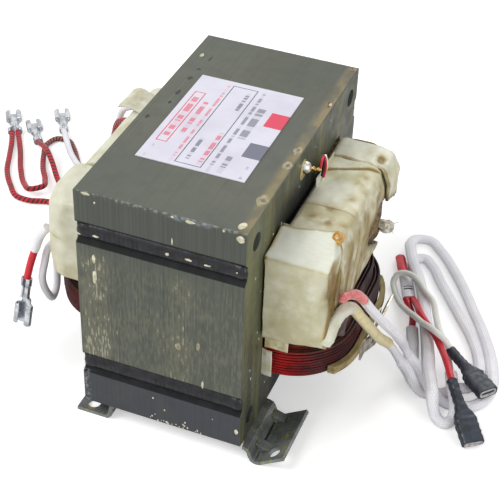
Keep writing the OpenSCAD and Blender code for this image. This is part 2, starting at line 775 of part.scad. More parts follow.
module tape_knot() {
    color("#cfccc4") placed() tube(knot_route, knot_size, small_sides);
}

// Leads

module lead(route, size, n, c, up = [0, 0, 1]) {
    color(c) placed() tube(route, size, n, up);
}

module hv_tube() {
    lead(hv_tube_route, [tube_d, tube_d], sleeve_sides, tape_c, [1, 0.2, 0]);
}

module hv_stub() {
    lead(hv_stub_route, [stub_d, stub_d], small_sides, "#c46a6e");
}

module sleeve_a() {
    lead(sleeve_a_route, sleeve_size, sleeve_sides, sleeve_c);
}

module sleeve_b() {
    lead(sleeve_b_route, sleeve_size, sleeve_sides, sleeve_c);
}

module red_wire_a() {
    lead(red_wire_a_route, [wire_d, wire_d], small_sides, red_c);
}

module red_wire_b() {
    lead(red_wire_b_route, [wire_d, wire_d], small_sides, red_c);
}

module marker_tag() {
    lead(marker_tag_route, tag_size, sleeve_sides, sleeve_c);
}

module splice_cap() {
    lead(splice_cap_route, cap_size, sleeve_sides, red_c);
}

module white_wire() {
    lead(white_wire_route, [thin_d, thin_d], small_sides, sleeve_c);
}

module lead_1() {
    lead(lead_1_route, [cloth_d, cloth_d], small_sides, red_c);
}

module lead_2() {
    lead(lead_2_route, [cloth_d, cloth_d], small_sides, red_c);
}

module lead_3() {
    lead(lead_3_route, [cloth_d, cloth_d], small_sides, red_c);
}

module lead_4() {
    lead(lead_4_route, [loop_d, loop_d], small_sides, sleeve_c);
}

module lead_5() {
    route = [for (i = [lead_5_sleeve_at:len(lead_5_route) - 1]) lead_5_route[i]];
    lead(route, [loop_d, loop_d], small_sides, red_c, [1, 0, 0]);
}

module lead_5_sleeve() {
    route = [for (i = [0:lead_5_sleeve_at]) lead_5_route[i]];
    lead(route, [loop_d + 0.6, loop_d + 0.6], small_sides, sleeve_c, [1, 0.2, 0]);
}

module white_loop() {
    lead(white_loop_route, [loop_d, loop_d], small_sides, sleeve_c, [1, 0.1, 0]);
}

// Female terminal along +Y, lying on z = 0, the wire's end at the origin
module spade(grip_w) {
    body_y0 = grip_l + barrel_l + spade_neck_l;
    translate([-grip_w / 2, 0, 0]) cube([grip_w, grip_l, grip_h]);
    translate([0, grip_l, barrel_r]) rotate([-90, 0, 0]) cylinder(r = barrel_r, h = barrel_l);
    translate([-1.4, grip_l + barrel_l, 0]) cube([2.8, spade_neck_l, spade_metal]);
    translate([-spade_w / 2 + spade_roll_r, body_y0, 0])
        cube([spade_w - 2 * spade_roll_r, spade_body_l, spade_metal]);
    for (s = [-1, 1])
        translate([s * (spade_w / 2 - spade_roll_r), body_y0, spade_roll_r])
            rotate([-90, 0, 0]) difference() {
                cylinder(r = spade_roll_r, h = spade_body_l);
                translate([0, 0, -cut]) cylinder(r = spade_roll_r - 0.6, h = spade_body_l + 2 * cut);
            }
}

module spade_1() {
    color(tin_c) placed() translate(spade_1_at) rotate([0, 0, spade_1_turn]) spade(grip_w_two);
}

module spade_2() {
    color(tin_c) placed() translate(spade_2_at) rotate([0, 0, spade_2_turn]) spade(grip_w_one);
}

module spade_3() {
    color(tin_c) placed() translate(spade_3_at) rotate([0, 0, spade_3_turn]) spade(grip_w_one);
}

module spade_5() {
    color(tin_c) placed() translate(spade_5_at) facing(spade_5_dir)
        translate([0, 0, -grip_h / 2]) spade(grip_w_one);
}

// Shrunk sleeving over a female terminal along +Y, the wire's end at the origin
module shroud() {
    difference() {
        union() {
            rotate([-90, 0, 0]) cylinder(d = shroud_tail_d, h = shroud_tail_l);
            translate([-shroud_neck_w / 2, shroud_tail_l, -shroud_tail_d / 2])
                cube([shroud_neck_w, shroud_neck_l, shroud_tail_d]);
            translate([0, shroud_tail_l + shroud_neck_l, 0]) rotate([-90, 0, 0])
                linear_extrude(height = shroud_l) rounded(shroud_w / 2, shroud_t / 2, shroud_t / 3);
        }
        translate([-mouth[0] / 2, shroud_tail_l + shroud_neck_l + shroud_l - mouth[2], -mouth[1] / 2])
            cube([mouth[0], mouth[2] + cut, mouth[1]]);
    }
}

module shroud_red() {
    color(black_c) placed() translate(shroud_red_at) facing(shroud_red_dir) shroud();
}

module shroud_white() {
    color(black_c) placed() translate(shroud_white_at) facing(shroud_white_dir) shroud();
}

e_core();
i_core();
seam_welds();
joint_welds();
shunt_front();
shunt_rear();
primary_winding();
slot_papers();
fold_papers();
secondary_winding();
wrap_right_body();
wrap_right_front();
wrap_right_rear();
wrap_left_front();
wrap_left_rear();
tape_flap();
filament_winding();
winding_liner();
ground_dome();
ground_wire();
terminal_board();
tab_front();
tab_rear();
front_strap();
rear_strap();
label_sheet();
resin_blob();
tape_knot();
hv_tube();
hv_stub();
sleeve_a();
sleeve_b();
red_wire_a();
red_wire_b();
marker_tag();
splice_cap();
white_wire();
shroud_red();
shroud_white();
lead_1();
lead_2();
lead_3();
lead_4();
spade_1();
spade_2();
spade_3();
lead_5();
lead_5_sleeve();
spade_5();
white_loop();
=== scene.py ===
"""Looks of a high voltage transformer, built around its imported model.

Sizes are in millimetres until a mesh is made. X runs through the stack of plates and Y from the
front to the rear. Places are measured from the centre of the core, as in the part's source, and
``Frame.metres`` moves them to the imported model's own origin.
"""

import json
import logging
import math
from dataclasses import dataclass
from enum import Enum

import bmesh
import bpy
import numpy as np
from mathutils import Matrix, Vector

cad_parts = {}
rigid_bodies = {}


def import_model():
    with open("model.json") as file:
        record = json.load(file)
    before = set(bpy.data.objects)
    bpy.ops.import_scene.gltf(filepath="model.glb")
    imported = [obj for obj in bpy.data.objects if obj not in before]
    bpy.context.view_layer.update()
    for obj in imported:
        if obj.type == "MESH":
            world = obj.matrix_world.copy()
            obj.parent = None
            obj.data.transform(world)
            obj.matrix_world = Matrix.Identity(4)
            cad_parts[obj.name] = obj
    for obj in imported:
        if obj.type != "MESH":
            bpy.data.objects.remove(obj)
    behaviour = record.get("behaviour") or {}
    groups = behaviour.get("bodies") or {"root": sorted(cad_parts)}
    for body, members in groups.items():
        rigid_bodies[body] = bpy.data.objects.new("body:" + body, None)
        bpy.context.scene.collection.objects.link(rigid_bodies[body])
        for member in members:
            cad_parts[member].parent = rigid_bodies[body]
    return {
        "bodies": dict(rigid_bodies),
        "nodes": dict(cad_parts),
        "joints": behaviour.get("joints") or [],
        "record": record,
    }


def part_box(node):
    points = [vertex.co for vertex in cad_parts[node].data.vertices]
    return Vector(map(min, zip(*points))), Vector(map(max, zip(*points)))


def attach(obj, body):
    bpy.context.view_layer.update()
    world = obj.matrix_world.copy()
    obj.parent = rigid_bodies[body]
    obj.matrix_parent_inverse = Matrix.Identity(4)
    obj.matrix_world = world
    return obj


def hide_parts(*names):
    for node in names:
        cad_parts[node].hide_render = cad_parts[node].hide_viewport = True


Array = np.ndarray
Piece = bpy.types.Object
Tree = bpy.types.NodeTree
LOG = logging.getLogger("transformer")
MM = 0.001
BODY = "root"

# The core's half length and half thickness, the height of its top and of its weld seams.
HALF_LENGTH = 60.0
HALF_STACK = 32.5
TOP = 107.5
SEAMS = (89.6, 27.5)


class Slot(Enum):
    """Material slots of the record."""

    PLATES = "core_plates"
    WELD = "weld"
    ENAMEL = "enamelled_wire"
    PAPER = "insulating_paper"
    TAPE = "tape"
    RESIN = "resin"
    TINNED = "tinned"
    BOARD = "board"
    STRAP = "strap_steel"
    LABEL = "label_paper"
    SLEEVE = "braided_sleeve"
    RED = "red_insulation"
    WHITE = "white_insulation"
    PINK = "pink_sleeve"
    SHRINK = "shrink"
    CLOTH = "red_cloth"


# Numbers


def linear(code: str) -> tuple[float, float, float, float]:
    """Turns an sRGB colour into the linear one that a shader takes.

    Args:
        code: Colour as "#rrggbb".

    Returns:
        Linear red, green and blue, and 1 for alpha.
    """
    parts = [int(code[i : i + 2], 16) / 255 for i in (1, 3, 5)]
    line = [c / 12.92 if c <= 0.04045 else ((c + 0.055) / 1.055) ** 2.4 for c in parts]
    return line[0], line[1], line[2], 1.0


def per(size: float) -> float:
    """Gives the texture scale at which one feature is size millimetres long."""
    return 1 / (size * MM)


def noise(points: Array, cell: float, seed: int) -> Array:
    """Smooth random field. Lattice values come from an integer hash, and the smooth step of the
    place inside a cell blends the eight corners.

    Args:
        points: Places in millimetres, with three numbers on the last axis.
        cell: Size of a lattice cell in millimetres.
        seed: Number of the field.

    Returns:
        Values from -1 to 1, one for each place.
    """
    scaled = np.asarray(points, float) / cell + 1000.0
    whole = np.floor(scaled).astype(np.int64)
    part = scaled - whole
    part = part * part * (3 - 2 * part)
    total = np.zeros(scaled.shape[:-1])
    for corner in range(8):
        step = np.array([corner & 1, corner >> 1 & 1, corner >> 2 & 1])
        at = whole + step
        code = at[..., 0] * 73856093 ^ at[..., 1] * 19349663 ^ at[..., 2] * 83492791 ^ seed * 2654435761
        code = (code ^ code >> 13) * 1274126177 & 0xFFFFFFFF
        code = (code ^ code >> 15) * 2246822519 & 0xFFFFFFFF
        weight = np.where(step, part, 1 - part).prod(-1)
        total = total + weight * (code / 0x7FFFFFFF - 1)
    return total


def layers(points: Array, cell: float, seed: int, octaves: int = 3) -> Array:
    """Sums noise at halving cells and halving strengths."""
    return sum(noise(points, cell / 2**k, seed + k) / 2**k for k in range(octaves))


def ease(low: float, high: float, value: Array) -> Array:
    """Smooth step of value from 0 at low to 1 at high."""
    part = np.clip((np.asarray(value, float) - low) / (high - low), 0, 1)
    return part * part * (3 - 2 * part)


def spot(points: Array, at: tuple, size: tuple) -> Array:
    """Soft blot: the exponential of minus the squared distance from at, measured in size."""
    away = (points - np.array(at, float)) / np.array(size, float)
    return np.exp(-(away**2).sum(-1))


def near_line(points: Array, a: tuple, b: tuple, width: float) -> Array:
    """Soft line: a blot carried along the straight line from a to b.

    Args:
        points: Places in millimetres.
        a: Start of the line.
        b: End of the line.
        width: Width of the blot.

    Returns:
        Values from 0 to 1, one for each place.
    """
    a, b = np.array(a, float), np.array(b, float)
    run = b - a
    along = np.clip(((points - a) @ run) / (run @ run), 0, 1)
    away = np.linalg.norm(points - a - along[..., None] * run, axis=-1)
    return peak(away, 0, width)


def smooth_route(points: list, step: float = 0.8) -> Array:
    """Cubic through the points of a route. Each tangent is the mean of the slopes on its two
    sides, each weighed by the length of the other side.

    Args:
        points: Places in millimetres.
        step: Length of a step along the result.

    Returns:
        Places along the curve, as an array with three columns.
    """
    p = np.asarray(points, float)
    span = np.linalg.norm(np.diff(p, axis=0), axis=1)
    knot = np.concatenate([[0], np.cumsum(span)])
    slope = np.diff(p, axis=0) / span[:, None]
    left, right = span[:-1, None], span[1:, None]
    inner = (slope[:-1] * right + slope[1:] * left) / (left + right)
    tangent = np.vstack([slope[:1], inner, slope[-1:]])
    count = max(int(round(knot[-1] / step)), 4) + 1
    at = np.linspace(0, knot[-1], count)
    seg = np.clip(np.searchsorted(knot, at, side="right") - 1, 0, len(span) - 1)
    t = ((at - knot[seg]) / span[seg])[:, None]
    w = span[seg][:, None]
    return (
        (2 * t**3 - 3 * t**2 + 1) * p[seg]
        + (t**3 - 2 * t**2 + t) * w * tangent[seg]
        + (3 * t**2 - 2 * t**3) * p[seg + 1]
        + (t**3 - t**2) * w * tangent[seg + 1]
    )


def run_length(path: Array) -> Array:
    """Length along a path at each of its points."""
    return np.concatenate([[0], np.cumsum(np.linalg.norm(np.diff(path, axis=0), axis=1))])


def spokes(count: int) -> Array:
    """Evenly spaced angles around a circle."""
    return np.arange(count) * 2 * np.pi / count


def circle(angle: Array) -> Array:
    """Points of a flat circle with the radius one."""
    return np.stack([np.cos(angle), np.sin(angle), 0 * angle], -1)


def powered(wave: Array, power: float) -> Array:
    """Power of a cosine or sine that keeps its sign. Below one it makes a circle squarer."""
    return np.sign(wave) * np.abs(wave) ** power


def peak(value: Array, middle: float, width: float) -> Array:
    """Soft peak: the exponential of minus the squared distance from middle, measured in width."""
    return np.exp(-(((value - middle) / width) ** 2))


def unit(rows: Array) -> Array:
    """Scales each row to length one."""
    return rows / np.maximum(np.linalg.norm(rows, axis=-1, keepdims=True), 1e-9)


def sweep(path: Array, size: Array, sides: int, up: tuple, swell: Array | None = None,
          closed: bool = False) -> Array:
    """Oval tube along a path. Each ring is the path's point plus the side vector times the cosine
    and the up vector times the sine of the angle, times half the size there.

    Args:
        path: Centre line, with three columns.
        size: Width and height, one pair or one pair for each point.
        sides: Points around a ring.
        up: Direction that the height follows.
        swell: Factor on the radius for each point of each ring.
        closed: Whether the path closes on itself.

    Returns:
        Rings of points, one row for each point of the path.
    """
    ahead = np.roll(path, -1, 0) - np.roll(path, 1, 0) if closed else np.gradient(path, axis=0)
    ahead = unit(ahead)
    side = unit(np.cross(ahead, np.array(up, float)))
    rise = np.cross(ahead, side)
    angle = spokes(sides)
    half = np.broadcast_to(np.asarray(size, float) / 2, (len(path), 2))
    reach = np.ones((len(path), sides)) if swell is None else swell
    across = half[:, :1] * np.cos(angle) * reach
    upward = half[:, 1:] * np.sin(angle) * reach
    return path[:, None] + across[..., None] * side[:, None] + upward[..., None] * rise[:, None]


def outline(corners: list, count: int, blur: float) -> Array:
    """Closed outline with rounded corners: evenly spaced points on the polygon, averaged along it
    by a bell curve of the width blur.

    Args:
        corners: Corners of the polygon in millimetres.
        count: Number of points.
        blur: Width of the bell curve in millimetres.

    Returns:
        Points, with two columns.
    """
    p = np.array(list(corners) + [corners[0]], float)
    knot = run_length(p)
    at = np.linspace(0, knot[-1], count, endpoint=False)
    flat = np.stack([np.interp(at, knot, p[:, k]) for k in (0, 1)], 1)
    away = np.minimum(np.arange(count), count - np.arange(count)) * knot[-1] / count
    bell = np.exp(-0.5 * (away / blur) ** 2)
    bell = np.fft.fft(bell / bell.sum())[:, None]
    return np.real(np.fft.ifft(np.fft.fft(flat, axis=0) * bell, axis=0))


def surface_normals(grid: Array, wrap: bool = True) -> Array:
    """Normals of a grid of points, from the cross product of its two directions.

    Args:
        grid: Rows of points.
        wrap: Whether the rows are closed rings.

    Returns:
        One normal for each point.
    """
    down = np.gradient(grid, axis=0)
    if wrap:
        around = np.roll(grid, -1, 1) - np.roll(grid, 1, 1)
    else:
        around = np.gradient(grid, axis=1)
    return unit(np.cross(around, down))


# Meshes


@dataclass
class Frame:
    """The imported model, with what joins new pieces to it."""

    data: dict
    core_x: float = 0.0

    def __post_init__(self) -> None:
        """Reads where the core's centre is."""
        low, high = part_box("e_core")
        self.core_x = (low[0] + high[0]) / 2 / MM

    def metres(self, points: Array) -> Array:
        """Moves points from the core's centre to the model's origin, in metres."""
        return (np.asarray(points, float) + [self.core_x, 0, 0]) * MM

    def keep(self, name: str, finish: bpy.types.Material) -> Piece:
        """Gives a CAD node its finish and leaves its shape.

        Args:
            name: The node.
            finish: Its material.

        Returns:
            The node's object.
        """
        node = self.data["nodes"][name]
        node.data.materials.clear()
        node.data.materials.append(finish)
        return node

    def eased(self, node: str, finish: bpy.types.Material, slot: Slot, width: float,
              steps: int = 2) -> Piece:
        """Stands a copy with rounded edges in a CAD node's place.

        Args:
            node: The node.
            finish: The copy's material.
            slot: The record's slot.
            width: Width of the rounding in millimetres.
            steps: Faces across the rounding.

        Returns:
            The copy.
        """
        mesh = self.data["nodes"][node].data.copy()
        tidy = bmesh.new()
        tidy.from_mesh(mesh)
        bmesh.ops.remove_doubles(tidy, verts=tidy.verts, dist=2e-6)
        bmesh.ops.dissolve_limit(tidy, angle_limit=math.radians(0.6), verts=tidy.verts, edges=tidy.edges)
        bmesh.ops.recalc_face_normals(tidy, faces=tidy.faces)
        tidy.to_mesh(mesh)
        tidy.free()
        for layer in [a.name for a in mesh.attributes if a.name == "custom_normal"]:
            mesh.attributes.remove(mesh.attributes[layer])
        piece = bpy.data.objects.new(f"{node}_dressed", mesh)
        bpy.context.scene.collection.objects.link(piece)
        mesh.materials.clear()
        mesh.materials.append(finish)
        mesh.shade_smooth()
        mesh.set_sharp_from_angle(angle=math.radians(32))
        bevel = piece.modifiers.new("edge", "BEVEL")
        bevel.width = width * MM
        bevel.segments = steps
        bevel.limit_method = "ANGLE"
        bevel.angle_limit = math.radians(32)
        bevel.harden_normals = True
        return self.join(piece, slot, node)

    def join(self, piece: Piece, slot: Slot, *nodes: str) -> Piece:
        """Makes a piece ride on the body and stand for the nodes that it replaces.

        Args:
            piece: The piece.
            slot: The record's slot. Not used.
            *nodes: CAD nodes that it stands for.

        Returns:
            The same piece.
        """
        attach(piece, BODY)
        if nodes:
            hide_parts(*nodes)
        LOG.info("%s: %d faces", piece.name, len(piece.data.polygons))
        return piece

    def solid(self, name: str, finish: bpy.types.Material, slot: Slot, shells: list,
              nodes: tuple = (), marks: dict | None = None) -> Piece:
        """Makes one piece out of grids of points.

        Args:
            name: The piece's name.
            finish: Its material.
            slot: The record's slot.
            shells: Grids, each with what closes it. See Shell.
            nodes: CAD nodes that it stands for.
            marks: Values for each point, by attribute name, in the order of the shells.

        Returns:
            The piece.
        """
        points, faces, uv, start = [], [], [], 0
        for shell in shells:
            cells, corners = shell.cells()
            points.append(shell.grid.reshape(-1, 3))
            faces.extend((cell + start).tolist() for cell in cells)
            uv.extend(corners)
            start += shell.grid.shape[0] * shell.grid.shape[1]
        mesh = bpy.data.meshes.new(name)
        rows = [row for block in faces for row in block]
        mesh.from_pydata(self.metres(np.vstack(points)).tolist(), [], rows)
        layer = mesh.uv_layers.new(name="UVMap")
        layer.data.foreach_set("uv", np.concatenate([c.reshape(-1) for c in uv]))
        for key, values in (marks or {}).items():
            mark = mesh.attributes.new(key, "FLOAT", "POINT")
            flat = np.concatenate([np.asarray(v, float).reshape(-1) for v in values])
            mark.data.foreach_set("value", flat)
        mesh.polygons.foreach_set("use_smooth", [True] * len(mesh.polygons))
        tidy = bmesh.new()
        tidy.from_mesh(mesh)
        bmesh.ops.recalc_face_normals(tidy, faces=tidy.faces)
        tidy.to_mesh(mesh)
        tidy.free()
        mesh.set_sharp_from_angle(angle=math.radians(50))
        mesh.materials.append(finish)
        mesh.validate()
        piece = bpy.data.objects.new(name, mesh)
        bpy.context.scene.collection.objects.link(piece)
        return self.join(piece, slot, *nodes)


@dataclass
class Shell:
    """Grid of points that becomes faces. Rows run along the piece, columns around it."""

    grid: Array
    around: bool = True
    ends: bool = True
    loop: bool = False
    length: Array | None = None
    torn: Array | None = None

    def cells(self) -> tuple[list, list]:
        """Works out faces, and the place of each face corner in the piece's own map: turns around
        it and metres along it.

        Returns:
            Blocks of faces with the same number of corners, and the map's values for each block.
        """
        rows, cols = self.grid.shape[:2]
        i, j = np.meshgrid(np.arange(rows if self.loop else rows - 1),
                           np.arange(cols if self.around else cols - 1), indexing="ij")
        i, j = i.ravel(), j.ravel()
        i2, j2 = (i + 1) % rows, (j + 1) % cols
        quads = np.stack([i * cols + j, i * cols + j2, i2 * cols + j2, i2 * cols + j], 1)
        along = self.length
        if along is None:
            along = run_length(self.grid.mean(1))
        along = np.append(along, along[-1] + along[1]) * MM
        turn = cols if self.around else cols - 1
        u0, u1, v0, v1 = j / turn, (j + 1) / turn, along[i], along[i + 1]
        spots = np.stack([u0, v0, u1, v0, u1, v1, u0, v1], 1)
        if self.torn is not None:
            stays = ~self.torn.ravel()
            quads, spots = quads[stays], spots[stays]
        blocks, maps = [quads], [spots.reshape(-1)]
        if self.around and self.ends and not self.loop:
            first = np.arange(cols)[None]
            last = (rows - 1) * cols + np.arange(cols)[::-1][None]
            for ring, v in ((first, along[0]), (last, along[rows - 1])):
                blocks.append(ring)
                maps.append(np.tile([0.5, v], cols))
        return blocks, maps


def thicken(piece: Piece, name: str, wall: float, offset: float = 0) -> Piece:
    """Gives an open sheet its thickness in millimetres.

    Args:
        piece: The sheet.
        name: The modifier's name.
        wall: Thickness in millimetres.
        offset: 0 for both sides and -1 for the inner one.

    Returns:
        The same piece.
    """
    skin = piece.modifiers.new(name, "SOLIDIFY")
    skin.thickness, skin.offset = wall * MM, offset
    return piece


# Finishes


@dataclass(frozen=True)
class Value:
    """What a material works out at each point of a surface: a number, a place or a colour.

    It can be added, scaled and compared like a number, and each step adds its node.
    """

    tree: Tree
    node: bpy.types.Node
    out: int | str = 0

    @property
    def socket(self) -> bpy.types.NodeSocket:
        """The socket that it comes from."""
        return self.node.outputs[self.out]

    def __getitem__(self, key: int | str) -> "Value":
        """Another output of the same node."""
        return Value(self.tree, self.node, key)

    def math(self, act: str, other: object = 0.0) -> "Value":
        """One step of arithmetic."""
        return put(self.tree, "Math", {0: self, 1: other}, operation=act)

    def __add__(self, other: object) -> "Value":
        """Sum."""
        return self.math("ADD", other)

    def __mul__(self, other: object) -> "Value":
        """Product."""
        return self.math("MULTIPLY", other)

    def __sub__(self, other: object) -> "Value":
        """Difference."""
        return self.math("SUBTRACT", other)

    def __rsub__(self, other: object) -> "Value":
        """Difference from a plain number."""
        return put(self.tree, "Math", {0: other, 1: self}, operation="SUBTRACT")

    def __abs__(self) -> "Value":
        """Size without its sign."""
        return self.math("ABSOLUTE")

    def __gt__(self, other: object) -> "Value":
        """One where it is greater, else zero."""
        return self.math("GREATER_THAN", other)

    def __lt__(self, other: object) -> "Value":
        """One where it is less, else zero."""
        return self.math("LESS_THAN", other)

    def capped(self) -> "Value":
        """Keeps the result of arithmetic between zero and one."""
        self.node.use_clamp = True
        return self

    def ramp(self, low: float, high: float, to: tuple = (0.0, 1.0)) -> "Value":
        """Smooth range from low to high.

        Args:
            low: Where it starts.
            high: Where it ends. It may be less than low.
            to: Result at low and at high.

        Returns:
            The value between the two results.
        """
        ins = {"Value": self, "From Min": low, "From Max": high, "To Min": to[0], "To Max": to[1]}
        return put(self.tree, "MapRange", ins, interpolation_type="SMOOTHSTEP")

    def mix(self, a: object, b: object) -> "Value":
        """Colour between a and b, with this value as the share of b.

        Args:
            a: Value or hex code.
            b: Value or hex code.

        Returns:
            The colour.
        """
        a, b = (linear(c) if isinstance(c, str) else c for c in (a, b))
        return put(self.tree, "Mix", {0: self, 6: a, 7: b}, data_type="RGBA")[2]


def put(tree: Tree, kind: str, ins: dict | None = None, **settings: object) -> Value:
    """Adds a node, sets it and links it.

    Args:
        tree: Where it goes.
        kind: Its type, without the part that all shader nodes share.
        ins: Number, colour or worked-out value for each input, by name or number.
        **settings: Properties of the node.

    Returns:
        Its first output.
    """
    node = tree.nodes.new("ShaderNode" + kind)
    for key, value in settings.items():
        setattr(node, key, value)
    for key, value in (ins or {}).items():
        if isinstance(value, Value):
            tree.links.new(value.socket, node.inputs[key])
        else:
            node.inputs[key].default_value = value
    return Value(tree, node)


@dataclass(frozen=True)
class Finish:
    """A surface finish. Each kind of finish paints its own colour, roughness and bump."""

    name: str
    roughness: float = 0.5
    metallic: float = 0.0
    coat: float = 0.0
    coat_roughness: float = 0.15
    sheen: float = 0.0
    clear: float = 0.0
    specular: float = 0.5

    def paint(self, tree: Tree) -> dict:
        """Builds the pattern.

        Args:
            tree: The material's nodes.

        Returns:
            Values by the shader's input name. "Height" is the bump's.
        """
        raise NotImplementedError

    def make(self) -> bpy.types.Material:
        """Makes the material.

        Returns:
            The material, with its pattern and bump.
        """
        material = bpy.data.materials.new(self.name)
        material.use_nodes = True
        tree = material.node_tree
        shader = tree.nodes["Principled BSDF"]
        shader.inputs["Roughness"].default_value = self.roughness
        shader.inputs["Metallic"].default_value = self.metallic
        shader.inputs["Coat Weight"].default_value = self.coat
        shader.inputs["Coat Roughness"].default_value = self.coat_roughness
        shader.inputs["Sheen Weight"].default_value = self.sheen
        shader.inputs["Transmission Weight"].default_value = self.clear
        if self.metallic < 1:
            shader.inputs["Specular IOR Level"].default_value = self.specular
        for key, value in self.paint(tree).items():
            if key == "Height":
                socket, strength, depth = value
                bump = put(tree, "Bump", {"Height": socket, "Strength": strength, "Distance": depth * MM})
                tree.links.new(bump.socket, shader.inputs["Normal"])
            else:
                tree.links.new(value.socket, shader.inputs[key])
        return material


def places(tree: Tree, scale: tuple = (1, 1, 1)) -> Value:
    """Object coordinates, stretched by scale.

    Args:
        tree: The material's nodes.
        scale: Factor on each axis.

    Returns:
        The coordinates.
    """
    where = put(tree, "TexCoord")["Object"]
    if scale == (1, 1, 1):
        return where
    return put(tree, "Mapping", {"Vector": where, "Scale": scale})


def piece_map(tree: Tree) -> Value:
    """Place on the piece's own map: turns around it, then metres along it."""
    return put(tree, "SeparateXYZ", {0: put(tree, "TexCoord")["UV"]})


def grain(tree: Tree, size: float, detail: float = 3, stretch: tuple = (1, 1, 1),
          where: Value | None = None) -> Value:
    """Noise with features of size millimetres, longer along an axis where stretch is above one.

    Args:
        tree: The material's nodes.
        size: Size of a feature in millimetres.
        detail: Layers of finer noise.
        stretch: Factor on the length along each axis.
        where: Coordinates, if not those of the object.

    Returns:
        The noise, from 0 to 1.
    """
    at = where if where is not None else places(tree, tuple(1 / s for s in stretch))
    return put(tree, "TexNoise", {"Vector": at, "Scale": per(size), "Detail": detail})["Fac"]


@dataclass(frozen=True)
class Laminations(Finish):
    """Silicon steel sheet, stamped, stacked, welded and dipped in varnish. The cut edges show as
    faint lines under an olive film. Varnish that ran down single plates dried cream, and rubbed
    edges are grey or tan. Painted shade darkens the side face low down and behind the wraps, and
    the notches at the welds; the deep gap behind the wraps is sooty and in painted shade. The pale
    line on the front's top edge is wear and a painted highlight."""

    core_x: float = -3.07
    pitch: float = 0.55

    def paint(self, tree: Tree) -> dict:
        """Plates are 0.5 mm apart. Each band of the core has its own colour."""
        axes = put(tree, "SeparateXYZ", {0: places(tree)})
        across = axes[0] - self.core_x * MM
        along, height = axes[1], axes[2]
        side = abs(across).ramp((HALF_STACK - 0.6) * MM, (HALF_STACK - 0.2) * MM)
        edge = 1.0 - side
        top = height.ramp((TOP - 0.5) * MM, (TOP - 0.1) * MM)
        front = abs(along).ramp((HALF_LENGTH - 1) * MM, (HALF_LENGTH - 0.4) * MM) * edge
        low = height.ramp(0.0278, 0.0268)
        high = height.ramp(0.0895, 0.0905)
        panel = front * (1.0 - low - high)

        film = grain(tree, 34, 3)
        base = film.ramp(0.35, 0.65).mix("#565b52", "#5e6055")
        base = front.mix(base, "#555950")
        base = (front * high).mix(base, "#4f534b")
        base = (low * edge).mix(base, "#3f4249")
        base = grain(tree, 9, 3).ramp(0.46, 0.66, (0, 0.3)).mix(base, "#4b4f48")
        # Painted shade: the side face is darker towards the bottom, and darker rearwards of y = -54 mm,
        # where the wraps stand beside it.
        flat = height.ramp(0.015, 0.1).mix("#34382f", "#5d614c")
        flat = along.ramp(-0.054, -0.03, (0.0, 0.8)).mix(flat, "#3b3e31")
        warm = grain(tree, 4, 2, (1, 1, 16)).ramp(0.45, 0.68, (0, 0.45)).mix(flat, "#77733f")
        base = side.mix(base, warm)
        # Sooty and painted shade: near-black on the side face in the deep gap behind the wraps, below the
        # top.
        soot_and_gap_shade = along.ramp(-0.04, -0.022) * along.ramp(0.014, -0.002)
        soot_and_gap_shade = soot_and_gap_shade * height.ramp(0.1035, 0.092)
        base = (soot_and_gap_shade * (side * 0.92)).mix(base, "#131519")

        plate = across * per(self.pitch)
        number = plate.math("FLOOR")
        shade = put(tree, "TexWhiteNoise", {"W": number}, noise_dimensions="1D")["Value"]
        lined = front * 0.32 + top * 0.05
        base = (shade.ramp(0, 1) * lined).mix(base, "#2f332d")
        groove = plate.math("PINGPONG", 0.5)
        groove = groove.ramp(0.0, 0.2)
        dark = (1.0 - groove) * lined
        base = dark.mix(base, "#24272a")
        brushed = grain(tree, 1.2, 2, (1, 34, 1))
        base = (brushed.ramp(0.5, 0.8, (0, 0.7)) * top).mix(base, "#4c5047")
        scratch = grain(tree, 0.8, 1, (1, 60, 1)).ramp(0.71, 0.8, (0, 0.35))
        base = (scratch * top).mix(base, "#86876f")

        lanes = put(tree, "CombineXYZ", {0: number * 0.73, 1: along.math("SIGN"), 2: height * per(4.6)})
        run = put(tree, "TexNoise", {"Vector": lanes, "Scale": 1.0, "Detail": 2.5})["Fac"]
        for start, end, more in ((-0.0315, -0.0205, 0.17), (0.003, 0.012, 0.11)):
            column = across.ramp(start - 0.0015, start + 0.0015) * across.ramp(end + 0.0015, end - 0.0015)
            run = run + column * more
        run = run + height.ramp(0.07, 0.03, (0.0, 0.05))
        run = run + grain(tree, 15, 2).ramp(0.35, 0.65, (-0.05, 0.04))
        reach = panel * height.ramp(0.0865, 0.074)
        drips = run.ramp(0.42, 0.72) * reach
        base = (drips * 0.46).mix(base, "#7b7963")
        bold = run.ramp(0.72, 0.84) * reach
        base = (bold * 0.6).mix(base, "#b0ad95")

        rear = along.ramp(0.0, 0.045) * across.ramp(-0.03, 0.01, (0.0, 0.4))
        base = (rear * top).mix(base, "#3f4235")
        strip = across.ramp(0.0268, 0.0308) * (top * edge)
        strip = strip * grain(tree, 5, 3, (1, 2.5, 1)).ramp(0.4, 0.6, (0.25, 0.9))
        base = strip.mix(base, "#8a7d59")
        # Pale line along the front's top edge: wear and a painted highlight of the edge.
        edge_wear_and_highlight = front * height.ramp(0.1062, 0.1073)
        edge_wear_and_highlight = edge_wear_and_highlight * grain(tree, 1.5, 3).ramp(0.48, 0.62)
        base = (edge_wear_and_highlight * 0.6).mix(base, "#94978f")
        rub = front * height.ramp(0.1052, 0.107) * (across.ramp(0.002, 0.006) * across.ramp(0.021, 0.017))
        rub = rub * grain(tree, 3, 3).ramp(0.4, 0.6, (0.1, 0.8))
        base = rub.mix(base, "#858c92")
        dull = grain(tree, 6, 3).ramp(0.3, 0.7, (0.36, 0.52))
        for level in SEAMS:
            near = abs(height - level * MM)
